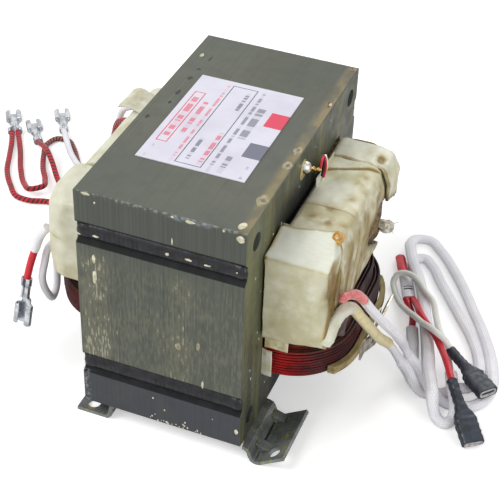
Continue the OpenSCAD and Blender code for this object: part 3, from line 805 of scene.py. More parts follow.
            # Painted shade: the recess beside each weld is painted near-black, and its roughness goes up
            # to dull its reflection.
            notch = near.ramp(0.0052, 0.0047) * abs(along).ramp(0.0553, 0.0563)
            notch = notch * edge
            base = (notch * 0.94).mix(base, "#131417")
            dull = dull + notch * 0.46
        worn = across.ramp(-0.0292, -0.0316) * height.ramp(0.03, 0.024)
        worn = worn * front * grain(tree, 1.3, 3).ramp(0.46, 0.62)
        base = (worn * 0.6).mix(base, "#989ca1")

        rise = groove * 0.5 * front
        rise = rise + drips
        rise = rise + film
        return {"Base Color": base, "Roughness": dull, "Height": (rise, 0.45, 0.06)}


@dataclass(frozen=True)
class Mottled(Finish):
    """Two colours in soft clouds with a fine grain. The kind of film that dipping or pressing
    leaves."""

    light: str = "#808080"
    deep: str = "#404040"
    cloud: float = 6.0
    grit: float = 0.5
    stretch: tuple = (1, 1, 1)
    bump: float = 0.05
    rough: tuple = (0.35, 0.55)
    spots: str = ""
    spot_share: tuple = (0.6, 0.68)

    def paint(self, tree: Tree) -> dict:
        """Clouds under grit, with spots where a colour for them is given."""
        cloud = grain(tree, self.cloud, 3, self.stretch)
        grit = grain(tree, self.grit, 2, self.stretch)
        base = cloud.ramp(0.35, 0.65).mix(self.light, self.deep)
        base = grit.ramp(0.45, 0.8, (0, 0.35)).mix(base, self.deep)
        if self.spots:
            fleck = grain(tree, self.cloud / 3, 2).ramp(*self.spot_share)
            base = (fleck * 0.8).mix(base, self.spots)
        rise = cloud + grit * 0.4
        dull = cloud.ramp(0.3, 0.7, self.rough)
        return {"Base Color": base, "Roughness": dull, "Height": (rise, 0.5, self.bump)}


def mottled(name: str, light: str, deep: str, cloud: float, grit: float, bump: float, rough: tuple,
            **more: object) -> bpy.types.Material:
    """Makes a mottled material.

    Args:
        name: Its name.
        light: Colour as a hex code.
        deep: Second colour.
        cloud: Size of the clouds in millimetres.
        grit: Size of the grain in millimetres.
        bump: Depth of the relief in millimetres.
        rough: Least and greatest roughness.
        **more: Other fields of the finish.

    Returns:
        The material.
    """
    finish = Mottled(name, light=light, deep=deep, cloud=cloud, grit=grit, bump=bump, rough=rough, **more)
    return finish.make()


@dataclass(frozen=True)
class FibreTape(Finish):
    """Glass-fibre tape, wound by hand and soaked in baked varnish. Cream cloth with a thread
    grain, yellow where the varnish is thick and brown along its edges. Points carry the amounts
    stain, pale and burn."""

    light: str = "#e3e2cd"
    deep: str = "#c9c5a2"
    bands: float = 0.314

    def paint(self, tree: Tree) -> dict:
        """Threads are 0.6 mm apart, drawn at 0.9 mm so that they show."""
        cloud = grain(tree, 13, 4)
        base = cloud.ramp(0.32, 0.68).mix(self.light, self.deep)
        base = (put(tree, "Attribute", attribute_name="pale")["Fac"] * 0.85).capped().mix(base, "#e7eadf")
        patch = (put(tree, "Attribute", attribute_name="stain")["Fac"]
                 * grain(tree, 5, 3).ramp(0.25, 0.6)).capped()
        base = patch.mix(base, "#a3935c")
        rich = put(tree, "Attribute", attribute_name="stain")["Fac"].ramp(0.75, 1.3)
        base = (rich * 0.8).mix(base, "#7e612f")
        base = put(tree, "Attribute", attribute_name="burn")["Fac"].mix(base, "#3b2a14")
        where = places(tree)
        threads = {"Vector": where, "Scale": self.bands * per(0.9), "Distortion": 1.2, "Detail Scale": 2.0}
        weft, warp = (put(tree, "TexWave", threads, bands_direction=way)["Fac"] for way in "ZY")
        weave = weft * warp
        base = weave.ramp(0.0, 0.9, (0.05, 0.0)).mix(base, "#6f6848")
        wrinkle = grain(tree, 2.6, 3)
        rise = weave * 0.25 + wrinkle
        wet = grain(tree, 7, 2).ramp(0.4, 0.65, (0.34, 0.6))
        return {"Base Color": base, "Roughness": wet, "Height": (rise, 0.5, 0.12)}


@dataclass(frozen=True)
class EnamelWire(Finish):
    """Copper wire under clear red enamel, wound and dipped. Bright red where bare, near black
    where varnish collects, and near black as painted shade where turns meet and on the block
    behind them. Points carry the amounts dark and resin."""

    def paint(self, tree: Tree) -> dict:
        """Red film over copper, with brown resin on top."""
        cloud = grain(tree, 5, 3)
        base = cloud.ramp(0.35, 0.7).mix("#b81613", "#740c0d")
        varnish_and_painted_shade = (put(tree, "Attribute", attribute_name="dark")["Fac"]
                  + grain(tree, 9, 2).ramp(0.5, 0.8, (0, 0.3))).capped()
        base = varnish_and_painted_shade.mix(base, "#280d11")
        base = put(tree, "Attribute", attribute_name="resin")["Fac"].mix(base, "#5a4632")
        return {"Base Color": base, "Roughness": cloud.ramp(0.3, 0.7, (0.26, 0.42)),
                "Height": (grain(tree, 1.6, 2), 0.2, 0.05)}


@dataclass(frozen=True)
class Braid(Finish):
    """Glass-fibre sleeving, braided and dipped in clear resin. White strands that cross at a
    slant, with a soft gloss. The pattern follows the piece's own map."""

    strand: float = 0.9
    turns: float = 15.0
    light: str = "#fbfafd"
    deep: str = "#cfced9"

    def paint(self, tree: Tree) -> dict:
        """Two sets of strands, drawn a little wider than real."""
        axes = piece_map(tree)
        around = axes[0] * self.turns
        along = axes[1] * (per(self.strand) / 2)
        one = (around + along).math("PINGPONG", 0.5)
        two = (around - along).math("PINGPONG", 0.5)
        weave = one.ramp(0.02, 0.3) * two.ramp(0.02, 0.3)
        cloud = grain(tree, 7, 3)
        base = cloud.ramp(0.35, 0.7).mix(self.light, "#f3f2f7")
        base = weave.ramp(0.0, 0.7, (0.5, 0.0)).mix(base, self.deep)
        return {"Base Color": base, "Roughness": cloud.ramp(0.3, 0.7, (0.36, 0.5)),
                "Height": (weave, 0.5, 0.12)}


@dataclass(frozen=True)
class TracerCloth(Finish):
    """Cotton braid over wire, red with one black thread that winds around it. Part of it is
    bleached where the mark fade is high."""

    pitch: float = 4.2

    def paint(self, tree: Tree) -> dict:
        """The tracer is a slanting band, and the braid a fine ribbing."""
        axes = piece_map(tree)
        turn = axes[0] + axes[1] * per(self.pitch)
        turn = turn * 2.0
        band = turn.math("PINGPONG", 0.5)
        base = grain(tree, 4, 3).ramp(0.35, 0.7).mix("#dc1c2c", "#b2141f")
        base = put(tree, "Attribute", attribute_name="fade")["Fac"].mix(base, "#a8635a")
        base = band.ramp(0.26, 0.33).mix(base, "#17090d")
        rib = axes[0] * 12.0 + axes[1] * per(1.1)
        rib = rib.math("PINGPONG", 0.5)
        base = rib.ramp(0.0, 0.2, (0.2, 0.0)).mix(base, "#4a0a10")
        return {"Base Color": base, "Height": (rib, 0.6, 0.2)}


@dataclass(frozen=True)
class Extruded(Finish):
    """Soft plastic or lacquer drawn over a wire. Smooth and even, with slight scuffs and a change
    of colour along the piece."""

    first: str = "#c02030"
    second: str = "#a81828"
    start: float = 0.0
    end: float = 1.0
    scuff: str = "#7a1420"

    def paint(self, tree: Tree) -> dict:
        """Colour runs from first to second along the piece's own map."""
        axes = piece_map(tree)
        base = axes[1].ramp(self.start * MM, self.end * MM).mix(self.first, self.second)
        rub = grain(tree, 2.4, 4)
        base = rub.ramp(0.5, 0.8, (0, 0.5)).mix(base, self.scuff)
        return {"Base Color": base, "Roughness": rub.ramp(0.3, 0.7, (0.28, 0.42)),
                "Height": (rub, 0.2, 0.08)}


@dataclass(frozen=True)
class MarkedTube(Extruded):
    """Soft tube slipped over a wire, with plain printed bars across its upper side."""

    bars: tuple = ((4.6, 5.4), (6.4, 6.9))

    def paint(self, tree: Tree) -> dict:
        """Bars lie between two lengths along the piece, on the quarter of it that faces up."""
        parts = super().paint(tree)
        axes = piece_map(tree)
        upper = axes[0].ramp(0.62, 0.64) * axes[0].ramp(0.88, 0.86)
        for start, end in self.bars:
            band = axes[1].ramp((start - 0.1) * MM, start * MM) * axes[1].ramp((end + 0.1) * MM, end * MM)
            band = band * upper
            parts["Base Color"] = band.mix(parts["Base Color"], "#25262c")
        return parts


@dataclass(frozen=True)
class Tin(Finish):
    """Brass or steel strip, stamped and tin plated. Cool grey metal with rolling lines, dull in
    patches."""

    light: str = "#e0e2e6"
    deep: str = "#b2b5bb"

    def paint(self, tree: Tree) -> dict:
        """Fine scratches across soft clouds."""
        cloud = grain(tree, 3, 3)
        line = grain(tree, 0.5, 2, (1, 6, 1))
        base = cloud.ramp(0.35, 0.65).mix(self.light, self.deep)
        base = line.ramp(0.5, 0.75, (0, 0.25)).mix(base, "#777a81")
        return {"Base Color": base, "Roughness": cloud.ramp(0.3, 0.7, (0.22, 0.38)),
                "Height": (line, 0.25, 0.03)}


@dataclass(frozen=True)
class PrintedLabel(Finish):
    """Coated paper, printed and stuck down. White with ruled boxes and two patches of colour, and
    nothing written on it."""

    core_x: float = -3.07

    def paint(self, tree: Tree) -> dict:
        """Each mark is a box between two limits on each axis, in millimetres from the core's centre."""
        axes = put(tree, "SeparateXYZ", {0: places(tree)})

        def box(x0: float, x1: float, y0: float, y1: float) -> Value:
            """One inside the box and zero outside it."""
            x0, x1 = x0 + self.core_x + 1.5, x1 + self.core_x + 1.5
            y0, y1 = y0 - 0.7, y1 - 0.7
            parts = [axes[0] > x0 * MM, axes[0] < x1 * MM, axes[1] > y0 * MM, axes[1] < y1 * MM]
            return parts[0] * parts[1] * (parts[2] * parts[3])

        def frame(x0: float, x1: float, y0: float, y1: float, line: float) -> Value:
            """Ruled line inside the box."""
            inner = box(x0 + line, x1 - line, y0 + line, y1 - line)
            return box(x0, x1, y0, y1) - inner

        base = grain(tree, 14, 3).ramp(0.35, 0.7).mix("#d9d8e4", "#d0cedb")
        frames = [(-20.96, -16.5, -19.6, 17.3, 0.4, "#d23a57"), (-9.0, 1.3, -29.8, 26.9, 0.35, "#3f3f4d")]
        for x0, x1, y0, y1, line, ink in frames:
            base = frame(x0, x1, y0, y1, line).mix(base, ink)
        base = box(11.6, 19.2, -17.3, -7.6).mix(base, "#6f7080")
        base = box(11.6, 19.1, 4.5, 14.6).mix(base, "#d8405a")
        words = put(tree, "TexNoise", {"Vector": places(tree, (0.02, 1, 0.02)), "Scale": per(1.5),
                                       "Detail": 0.0})["Fac"]
        broken = words.ramp(0.44, 0.47, (0.15, 0.75))
        rows = [(-19.9, -17.6, -15.5, 13.2, "#d8566c"), (-14.9, -13.0, -12.5, 11.5, "#d8566c"),
                (-11.1, -10.0, -30.3, 27.0, "#dc7286"), (-6.3, -4.8, -26.4, -11.6, "#5b5b6a"),
                (-2.1, -0.6, 10.5, 24.0, "#5b5b6a"), (-1.2, 0.5, -28.2, -5.5, "#d8566c"),
                (3.4, 4.7, -31.3, 27.1, "#6d6d7b"), (5.9, 8.9, -7.3, 15.4, "#6d6d7b"),
                (7.2, 9.3, -30.1, -19.0, "#6d6d7b"), (15.9, 17.0, -30.8, -28.8, "#6d6d7b"),
                (15.8, 16.9, -24.1, -22.1, "#6d6d7b"), (-21.0, -20.0, -31.0, -29.0, "#6d6d7b"),
                (-20.6, -19.6, -24.3, -22.3, "#6d6d7b")]
        for x0, x1, y0, y1, ink in rows:
            base = (box(x0, x1, y0, y1) * broken).mix(base, ink)
        return {"Base Color": base, "Height": (grain(tree, 3, 3), 0.15, 0.05)}


class Palette:
    """All finishes of the object, made once."""

    def __init__(self, core_x: float) -> None:
        """Makes the materials.

        Args:
            core_x: X of the core's centre in millimetres.
        """
        self.core = Laminations("varnished_laminations", specular=0.35, core_x=core_x).make()
        self.weld = mottled("varnished_weld", "#1e1f26", "#0c0d11", 3, 0.5, 0.2, (0.3, 0.5), coat=0.2,
                            specular=0.3, spots="#2c1c19", spot_share=(0.6, 0.7))
        self.drip = mottled("dried_varnish", "#dcd9c4", "#b8b08c", 2, 0.3, 0.05, (0.3, 0.45), coat=0.3)
        self.burn = mottled("burnt_varnish", "#8d7752", "#4b3a26", 1.6, 0.3, 0.08, (0.35, 0.5))
        self.dent = mottled("dark_varnish_mark", "#393b33", "#22231e", 1.6, 0.3, 0.05, (0.4, 0.6))
        self.enamel = EnamelWire("enamelled_copper", coat=0.06, coat_roughness=0.25, specular=0.14).make()
        self.paper = mottled("insulating_paper", "#dcdcd2", "#c3bf9f", 7, 0.5, 0.08, (0.55, 0.75))
        self.fold = mottled("varnished_paper", "#e0dbbd", "#c0b17c", 4, 0.4, 0.12, (0.35, 0.6))
        self.tape = FibreTape("varnished_fibre_tape", specular=0.4).make()
        self.coil = mottled("resin_soaked_coil", "#7d602c", "#3a280f", 3, 0.6, 0.4, (0.35, 0.6),
                            spots="#a88440", coat=0.05, specular=0.2)
        self.resin = mottled("amber_resin", "#d3a446", "#a97a26", 1.8, 0.4, 0.06, (0.2, 0.32), coat=0.5)
        self.knot = mottled("frayed_tape_end", "#e3e0d6", "#a09378", 1.6, 0.3, 0.2, (0.3, 0.55), coat=0.2)
        self.tin = Tin("tinned_strip", metallic=1.0).make()
        self.tab = mottled("tinned_tab", "#c6c1b4", "#9a927e", 3, 0.5, 0.02, (0.28, 0.42), metallic=0.85)
        self.button = mottled("tinned_dome", "#dedddb", "#bdbab2", 2, 0.6, 0.01, (0.2, 0.3), metallic=1.0)
        self.drop = mottled("yellowed_varnish", "#c9b873", "#9a8744", 2, 0.3, 0.05, (0.25, 0.4))
        self.film = mottled("thin_varnish_mark", "#a39d80", "#878063", 1.6, 0.3, 0.04, (0.35, 0.5))
        self.halo = mottled("burnt_mark_centre", "#8c6f5c", "#6d5446", 1.6, 0.3, 0.04, (0.35, 0.5))
        self.wire = Tin("tinned_wire", metallic=1.0, light="#d3b56a", deep="#8c6a2c").make()
        self.board = mottled("pressed_fibre_board", "#ab9862", "#71623c", 5, 0.5, 0.12, (0.5, 0.7),
                             stretch=(1, 3, 1))
        self.strap = mottled("varnished_strap_steel", "#8f9392", "#666a67", 7, 0.7, 0.12, (0.16, 0.34),
                             metallic=0.35, spots="#a39a55", coat=0.7, spot_share=(0.58, 0.68))
        self.label = PrintedLabel("coated_label_paper", roughness=0.42, core_x=core_x).make()
        self.sleeve = Braid("braided_glass_sleeve", roughness=0.42, coat=0.25).make()
        self.fine_sleeve = Braid("fine_glass_sleeve", roughness=0.42, strand=0.6, turns=12,
                                 coat=0.25).make()
        # Near black on the filament turns: sooty red silicone in painted shade of the gap between the core
        # and the wraps.
        self.turns = Extruded("red_silicone_sooty_and_shaded", roughness=0.3, first="#2a1214", second="#1c0f12",
                              scuff="#5a1a1c").make()
        self.red = Extruded("red_silicone", roughness=0.32, first="#e4213a", second="#d21c31",
                            scuff="#a41929").make()
        self.white = Extruded("white_silicone", roughness=0.34, first="#f6f6f0", second="#efefe8",
                              scuff="#d8d9cf").make()
        self.tube = Extruded("lacquered_tube", roughness=0.3, coat=0.3, first="#3a2320", second="#e2d6a6",
                             start=8.2, end=10.4, scuff="#bda468").make()
        self.tag = MarkedTube("white_marker_tube", roughness=0.38, first="#f0eff2", second="#e6e4ea",
                            scuff="#cfcdd6").make()
        self.pink = mottled("pink_shrunk_film", "#e9917c", "#c25f5c", 2.2, 0.4, 0.2, (0.2, 0.4),
                            coat=0.5, spots="#ee3f86", spot_share=(0.56, 0.62))
        self.shrink = mottled("black_shrink_tube", "#2c3340", "#171b23", 3, 0.5, 0.1, (0.34, 0.55))
        self.lip = mottled("white_housing_plastic", "#d9d7d6", "#a9a6a4", 2, 0.4, 0.05, (0.35, 0.55))
        self.cloth = TracerCloth("red_tracer_cloth", roughness=0.72, sheen=0.3).make()


# Studio


@dataclass
class Studio:
    """Camera at the photograph's angle, pale floor and soft light."""

    azimuth: float = 20.1015
    elevation: float = 37.868
    roll: float = 2.288
    lens: float = 95.285
    place: tuple = (152.673, -386.088, 371.713)

    def camera(self, frame: Frame) -> None:
        """Sets the camera up from its angles.

        Args:
            frame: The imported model.
        """
        az, el, roll = (math.radians(a) for a in (self.azimuth, self.elevation, self.roll))
        back = Vector((math.sin(az) * math.cos(el), -math.cos(az) * math.cos(el), math.sin(el)))
        side = Vector((0, 0, 1)).cross(back).normalized()
        up = back.cross(side)
        right = side * math.cos(roll) + up * math.sin(roll)
        over = up * math.cos(roll) - side * math.sin(roll)
        lens = bpy.data.cameras.new("camera")
        lens.lens, lens.sensor_width = self.lens, 36.0
        lens.clip_start, lens.clip_end = 0.01, 50.0
        camera = bpy.data.objects.new("camera", lens)
        at = Vector(frame.metres(np.array(self.place)).tolist())
        turn = Matrix((right, over, back)).transposed().to_4x4()
        camera.matrix_world = Matrix.Translation(at) @ turn
        bpy.context.scene.collection.objects.link(camera)
        bpy.context.scene.camera = camera

    def light(self) -> None:
        """Hangs three soft lamps in a pale world."""
        scene = bpy.context.scene
        scene.view_settings.view_transform = "Standard"
        world = bpy.data.worlds.new("studio")
        scene.world = world
        world.use_nodes = True
        tree = world.node_tree
        tree.nodes.clear()
        ray = put(tree, "LightPath")
        seen = ray["Is Camera Ray"].math("MAXIMUM", ray["Is Glossy Ray"])
        seen = seen.math("MAXIMUM", ray["Is Transmission Ray"])
        soft = put(tree, "Background", {"Color": (1, 1, 1, 1), "Strength": 0.5})
        white = put(tree, "Background", {"Color": (1, 1, 1, 1), "Strength": 1.0})
        both = put(tree, "MixShader", {0: seen, 1: soft, 2: white})
        put(tree, "OutputWorld", {"Surface": both})
        lamps = [("key", (-0.55, -0.55, 0.95), 0.7, 8.6), ("fill", (0.9, -0.5, 0.45), 0.6, 3.0),
                 ("rim", (0.2, 0.9, 0.8), 0.5, 3.0)]
        for name, at, size, power in lamps:
            data = bpy.data.lights.new(name, "AREA")
            data.size, data.energy = size, power
            lamp = bpy.data.objects.new(name, data)
            lamp.location = at
            aim = Vector((0, 0, 0.05)) - Vector(at)
            lamp.rotation_euler = aim.to_track_quat("-Z", "Y").to_euler()
            scene.collection.objects.link(lamp)

    def floor(self) -> None:
        """Lays a white floor that keeps the object's shadow and fades to the background."""
        x, y = np.meshgrid(np.linspace(-3, 3, 2), np.linspace(-3, 3, 2), indexing="ij")
        points = np.stack([x, y, np.full_like(x, -0.0001)], -1).reshape(-1, 3)
        mesh = bpy.data.meshes.new("floor")
        mesh.from_pydata(points.tolist(), [], [(0, 2, 3, 1)])
        floor = bpy.data.objects.new("floor", mesh)
        bpy.context.scene.collection.objects.link(floor)
        material = bpy.data.materials.new("white_floor")
        material.use_nodes = True
        tree = material.node_tree
        tree.nodes.clear()
        matt = put(tree, "BsdfDiffuse", {"Color": (0.85, 0.85, 0.85, 1)})
        ray = put(tree, "LightPath")
        glow = put(tree, "Emission", {"Color": (1, 1, 1, 1), "Strength": ray["Is Camera Ray"] * 0.42})
        both = put(tree, "AddShader", {0: matt, 1: glow})
        put(tree, "OutputMaterial", {"Surface": both})
        mesh.materials.append(material)


# Parts


@dataclass
class Part:
    """Part of the object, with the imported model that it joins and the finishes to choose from."""

    frame: Frame
    palette: Palette


# Leads


class End(Enum):
    """What a lead ends in."""

    BARE = "bare"
    OBJECT = "object"
    TERMINAL = "connector"


@dataclass
class Lead:
    """One free lead. Its route is the part's own, in millimetres from the core's centre."""

    name: str
    route: list
    size: tuple
    length: float
    finish: str
    slot: Slot
    end: End = End.BARE
    stiffness: str = "medium"
    up: tuple = (0, 0, 1)
    sides: int = 14
    ribs: int = 0
    lumps: float = 0.0
    fade: tuple | None = None
    taper: float = 0.0
    nose: float = 0.0

    def build(self, frame: Frame, finish: bpy.types.Material) -> tuple[Piece, Array]:
        """Sweeps the lead along its route. Ribs are a cosine around it, and lumps are noise.

        Args:
            frame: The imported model.
            finish: The lead's material.

        Returns:
            The piece, and its centre line in metres.
        """
        path = smooth_route(self.route)
        angle = spokes(self.sides)
        along = run_length(path)
        swell = np.ones((len(path), self.sides))
        if self.ribs:
            swell += 0.035 * np.cos(self.ribs * angle)[None, :]
        if self.lumps:
            where = path[:, None] + circle(angle)[None] * 2
            swell += self.lumps * noise(where, 2.6, len(self.name))
        if self.taper:
            swell *= 1 - self.taper * peak(along, along[-1], 1.0)[:, None]
        if self.nose:
            swell *= np.sqrt(np.clip(1 - (1 - np.clip(along / self.nose, 0.02, 1)) ** 2, 0, 1))[:, None]
        grid = sweep(path, np.array(self.size), self.sides, self.up, swell)
        marks = {}
        if self.fade is not None:
            middle, width = self.fade
            bleach = np.exp(-(((along - middle) / width) ** 4))
            marks["fade"] = [np.repeat(bleach, self.sides)]
        elif self.finish == "cloth":
            marks["fade"] = [np.zeros(grid.shape[:2])]
        piece = frame.solid(f"{self.name}_lead", finish, self.slot, [Shell(grid, length=along)],
                            (self.name,), marks)
        return piece, frame.metres(path)

    def declare(self, piece: Piece, path: Array, extras: list) -> None:
        """Does nothing: the lead's facts are not stated.

        Args:
            piece: The lead. Not used.
            path: Its centre line in metres. Not used.
            extras: Pieces that are on it. Not used.
        """


def turned(points: Array, at: tuple, way: tuple, rise: tuple = (0, 0, 1)) -> Array:
    """Carries points drawn along +Y to a place and heading.

    Args:
        points: Points with X to the side, Y along the piece and Z up.
        at: Where the origin goes.
        way: Where +Y points.
        rise: Roughly where +Z points.

    Returns:
        The moved points.
    """
    ahead = unit(np.array(way, float))
    side = unit(np.cross(ahead, np.array(rise, float)))
    up = np.cross(side, ahead)
    return np.array(at, float) + points[..., :1] * side + points[..., 1:2] * ahead + points[..., 2:] * up


@dataclass
class Spade:
    """Female flat terminal, bent from one tinned strip. The strip's half width and how much of
    each side is rolled change along it: grip, barrel, neck and body."""

    name: str
    at: tuple
    way: tuple
    grip: float = 3.8
    metal: float = 0.45
    drop: float = 0.0
    rise: tuple = (0, 0, 1)

    def grid(self) -> Array:
        """Works out the strip. A point at the share t of the half width lies on the flat middle,
        or on a roll whose angle grows with its distance beyond the flat.

        Returns:
            Rows of points across the strip.
        """
        stations = np.array([0, 0.3, 2.9, 3.1, 3.5, 8.2, 8.6, 9.6, 11.2, 11.8, 12.2, 19.6, 20.0])
        flat = np.array([0.45, 0.5, 0.5, 0.5, 0.2, 0.2, 0.5, 1.35, 1.5, 2.3, 2.45, 2.45, 2.4])
        flat[:4] = self.grip / 2 - 1.45
        radius = np.array([1.6, 1.65, 1.65, 1.6, 1.45, 1.45, 1.5, 1.5, 1.5, 1.4, 1.35, 1.35, 1.3])
        roll = np.array([165, 170, 170, 165, 172, 172, 120, 30, 25, 120, 222, 222, 218])
        y = np.unique(np.concatenate([np.linspace(0, 20, 70), stations]))
        half, bend, turn = (np.interp(y, stations, v) for v in (flat, radius, np.radians(roll)))
        share = np.linspace(-1, 1, 41)
        side, t = np.sign(share), np.abs(share)
        middle = 0.3
        lying = np.clip(t / middle, 0, 1)
        curled = np.clip((t - middle) / (1 - middle), 0, 1)
        angle = curled[None] * turn[:, None]
        x = side * (half[:, None] * lying + bend[:, None] * np.sin(angle))
        z = bend[:, None] * (1 - np.cos(angle)) + self.metal / 2
        return np.stack([x, np.broadcast_to(y[:, None], x.shape), z], -1)

    def build(self, frame: Frame, palette: Palette) -> Piece:
        """Places the strip and gives it a thickness.

        Args:
            frame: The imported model.
            palette: The finishes.

        Returns:
            The strip.
        """
        grid = self.grid()
        grid[..., 2] -= self.drop
        placed = turned(grid, self.at, self.way, self.rise)
        piece = frame.solid(f"{self.name}_strip", palette.tin, Slot.TINNED,
                            [Shell(placed, around=False, ends=False)], (self.name,))
        return thicken(piece, "metal", self.metal)


@dataclass
class Shroud:
    """Shrunk black tube over a flat terminal, with the white housing's mouth at its end."""

    name: str
    at: tuple
    way: tuple
    seed: int

    def build(self, frame: Frame, palette: Palette) -> list[Piece]:
        """Lofts ovals that turn from round to flat. The last rings go back in as the mouth.

        Args:
            frame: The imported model.
            palette: The finishes.

        Returns:
            The shroud and its mouth.
        """
        y = np.array([0, 0.3, 3, 6, 9, 11, 13, 14.6, 16, 18, 24, 27.4, 28, 28, 27.6])
        wide = np.array([4.0, 4.4, 4.4, 4.3, 4.4, 4.5, 5.4, 6.6, 8.6, 9, 9, 9, 8.8, 8.0, 7.6])
        high = np.array([4.0, 4.4, 4.4, 4.3, 4.4, 4.4, 4.3, 4.3, 4.4, 4.5, 4.5, 4.5, 4.3, 3.4, 3.1])
        square = np.array([2, 2, 2, 2, 2, 2.2, 2.6, 3, 3.6, 4, 4, 4, 4, 4, 4.0])
        step = np.linspace(0, len(y) - 1, 90)
        y, wide, high, square = (np.interp(step, np.arange(len(y)), v) for v in (y, wide, high, square))
        angle = spokes(40)
        power = (2 / square)[:, None]
        x = wide[:, None] / 2 * powered(np.cos(angle), power)
        z = high[:, None] / 2 * powered(np.sin(angle), power)
        grid = np.stack([x, np.broadcast_to(y[:, None], x.shape), z], -1)
        crease = noise(grid * np.array([1, 2.2, 1]), 3.2, self.seed) * 0.05
        crease += 0.035 * np.sin(grid[..., 1] * 2.2 + 2 * noise(grid, 5, self.seed + 3))
        still = 1 - ease(24, 27, y)[:, None]
        grid[..., 0] *= 1 + crease * still
        grid[..., 2] *= 1 + crease * still
        cover = frame.solid(f"{self.name}_cover", palette.shrink, Slot.SHRINK,
                            [Shell(turned(grid, self.at, self.way))], (self.name,))
        lip = frame.solid(f"{self.name}_mouth", palette.lip, Slot.SHRINK,
                          [Shell(turned(self.mouth(), self.at, self.way))])
        return [cover, lip]

    def mouth(self) -> Array:
        """Rim of the housing.

        Returns:
            Rings of points along the housing.
        """
        angle = spokes(32)
        reach = np.array([[3.6, 1.5, 27.4], [3.7, 1.6, 28.1], [3.3, 1.15, 28.2], [3.1, 0.95, 27.8],
                          [3.0, 0.8, 27.3]])
        x = reach[:, :1] * powered(np.cos(angle), 0.5)
        z = reach[:, 1:2] * powered(np.sin(angle), 0.5)
        return np.stack([x, np.broadcast_to(reach[:, 2:], x.shape), z], -1)


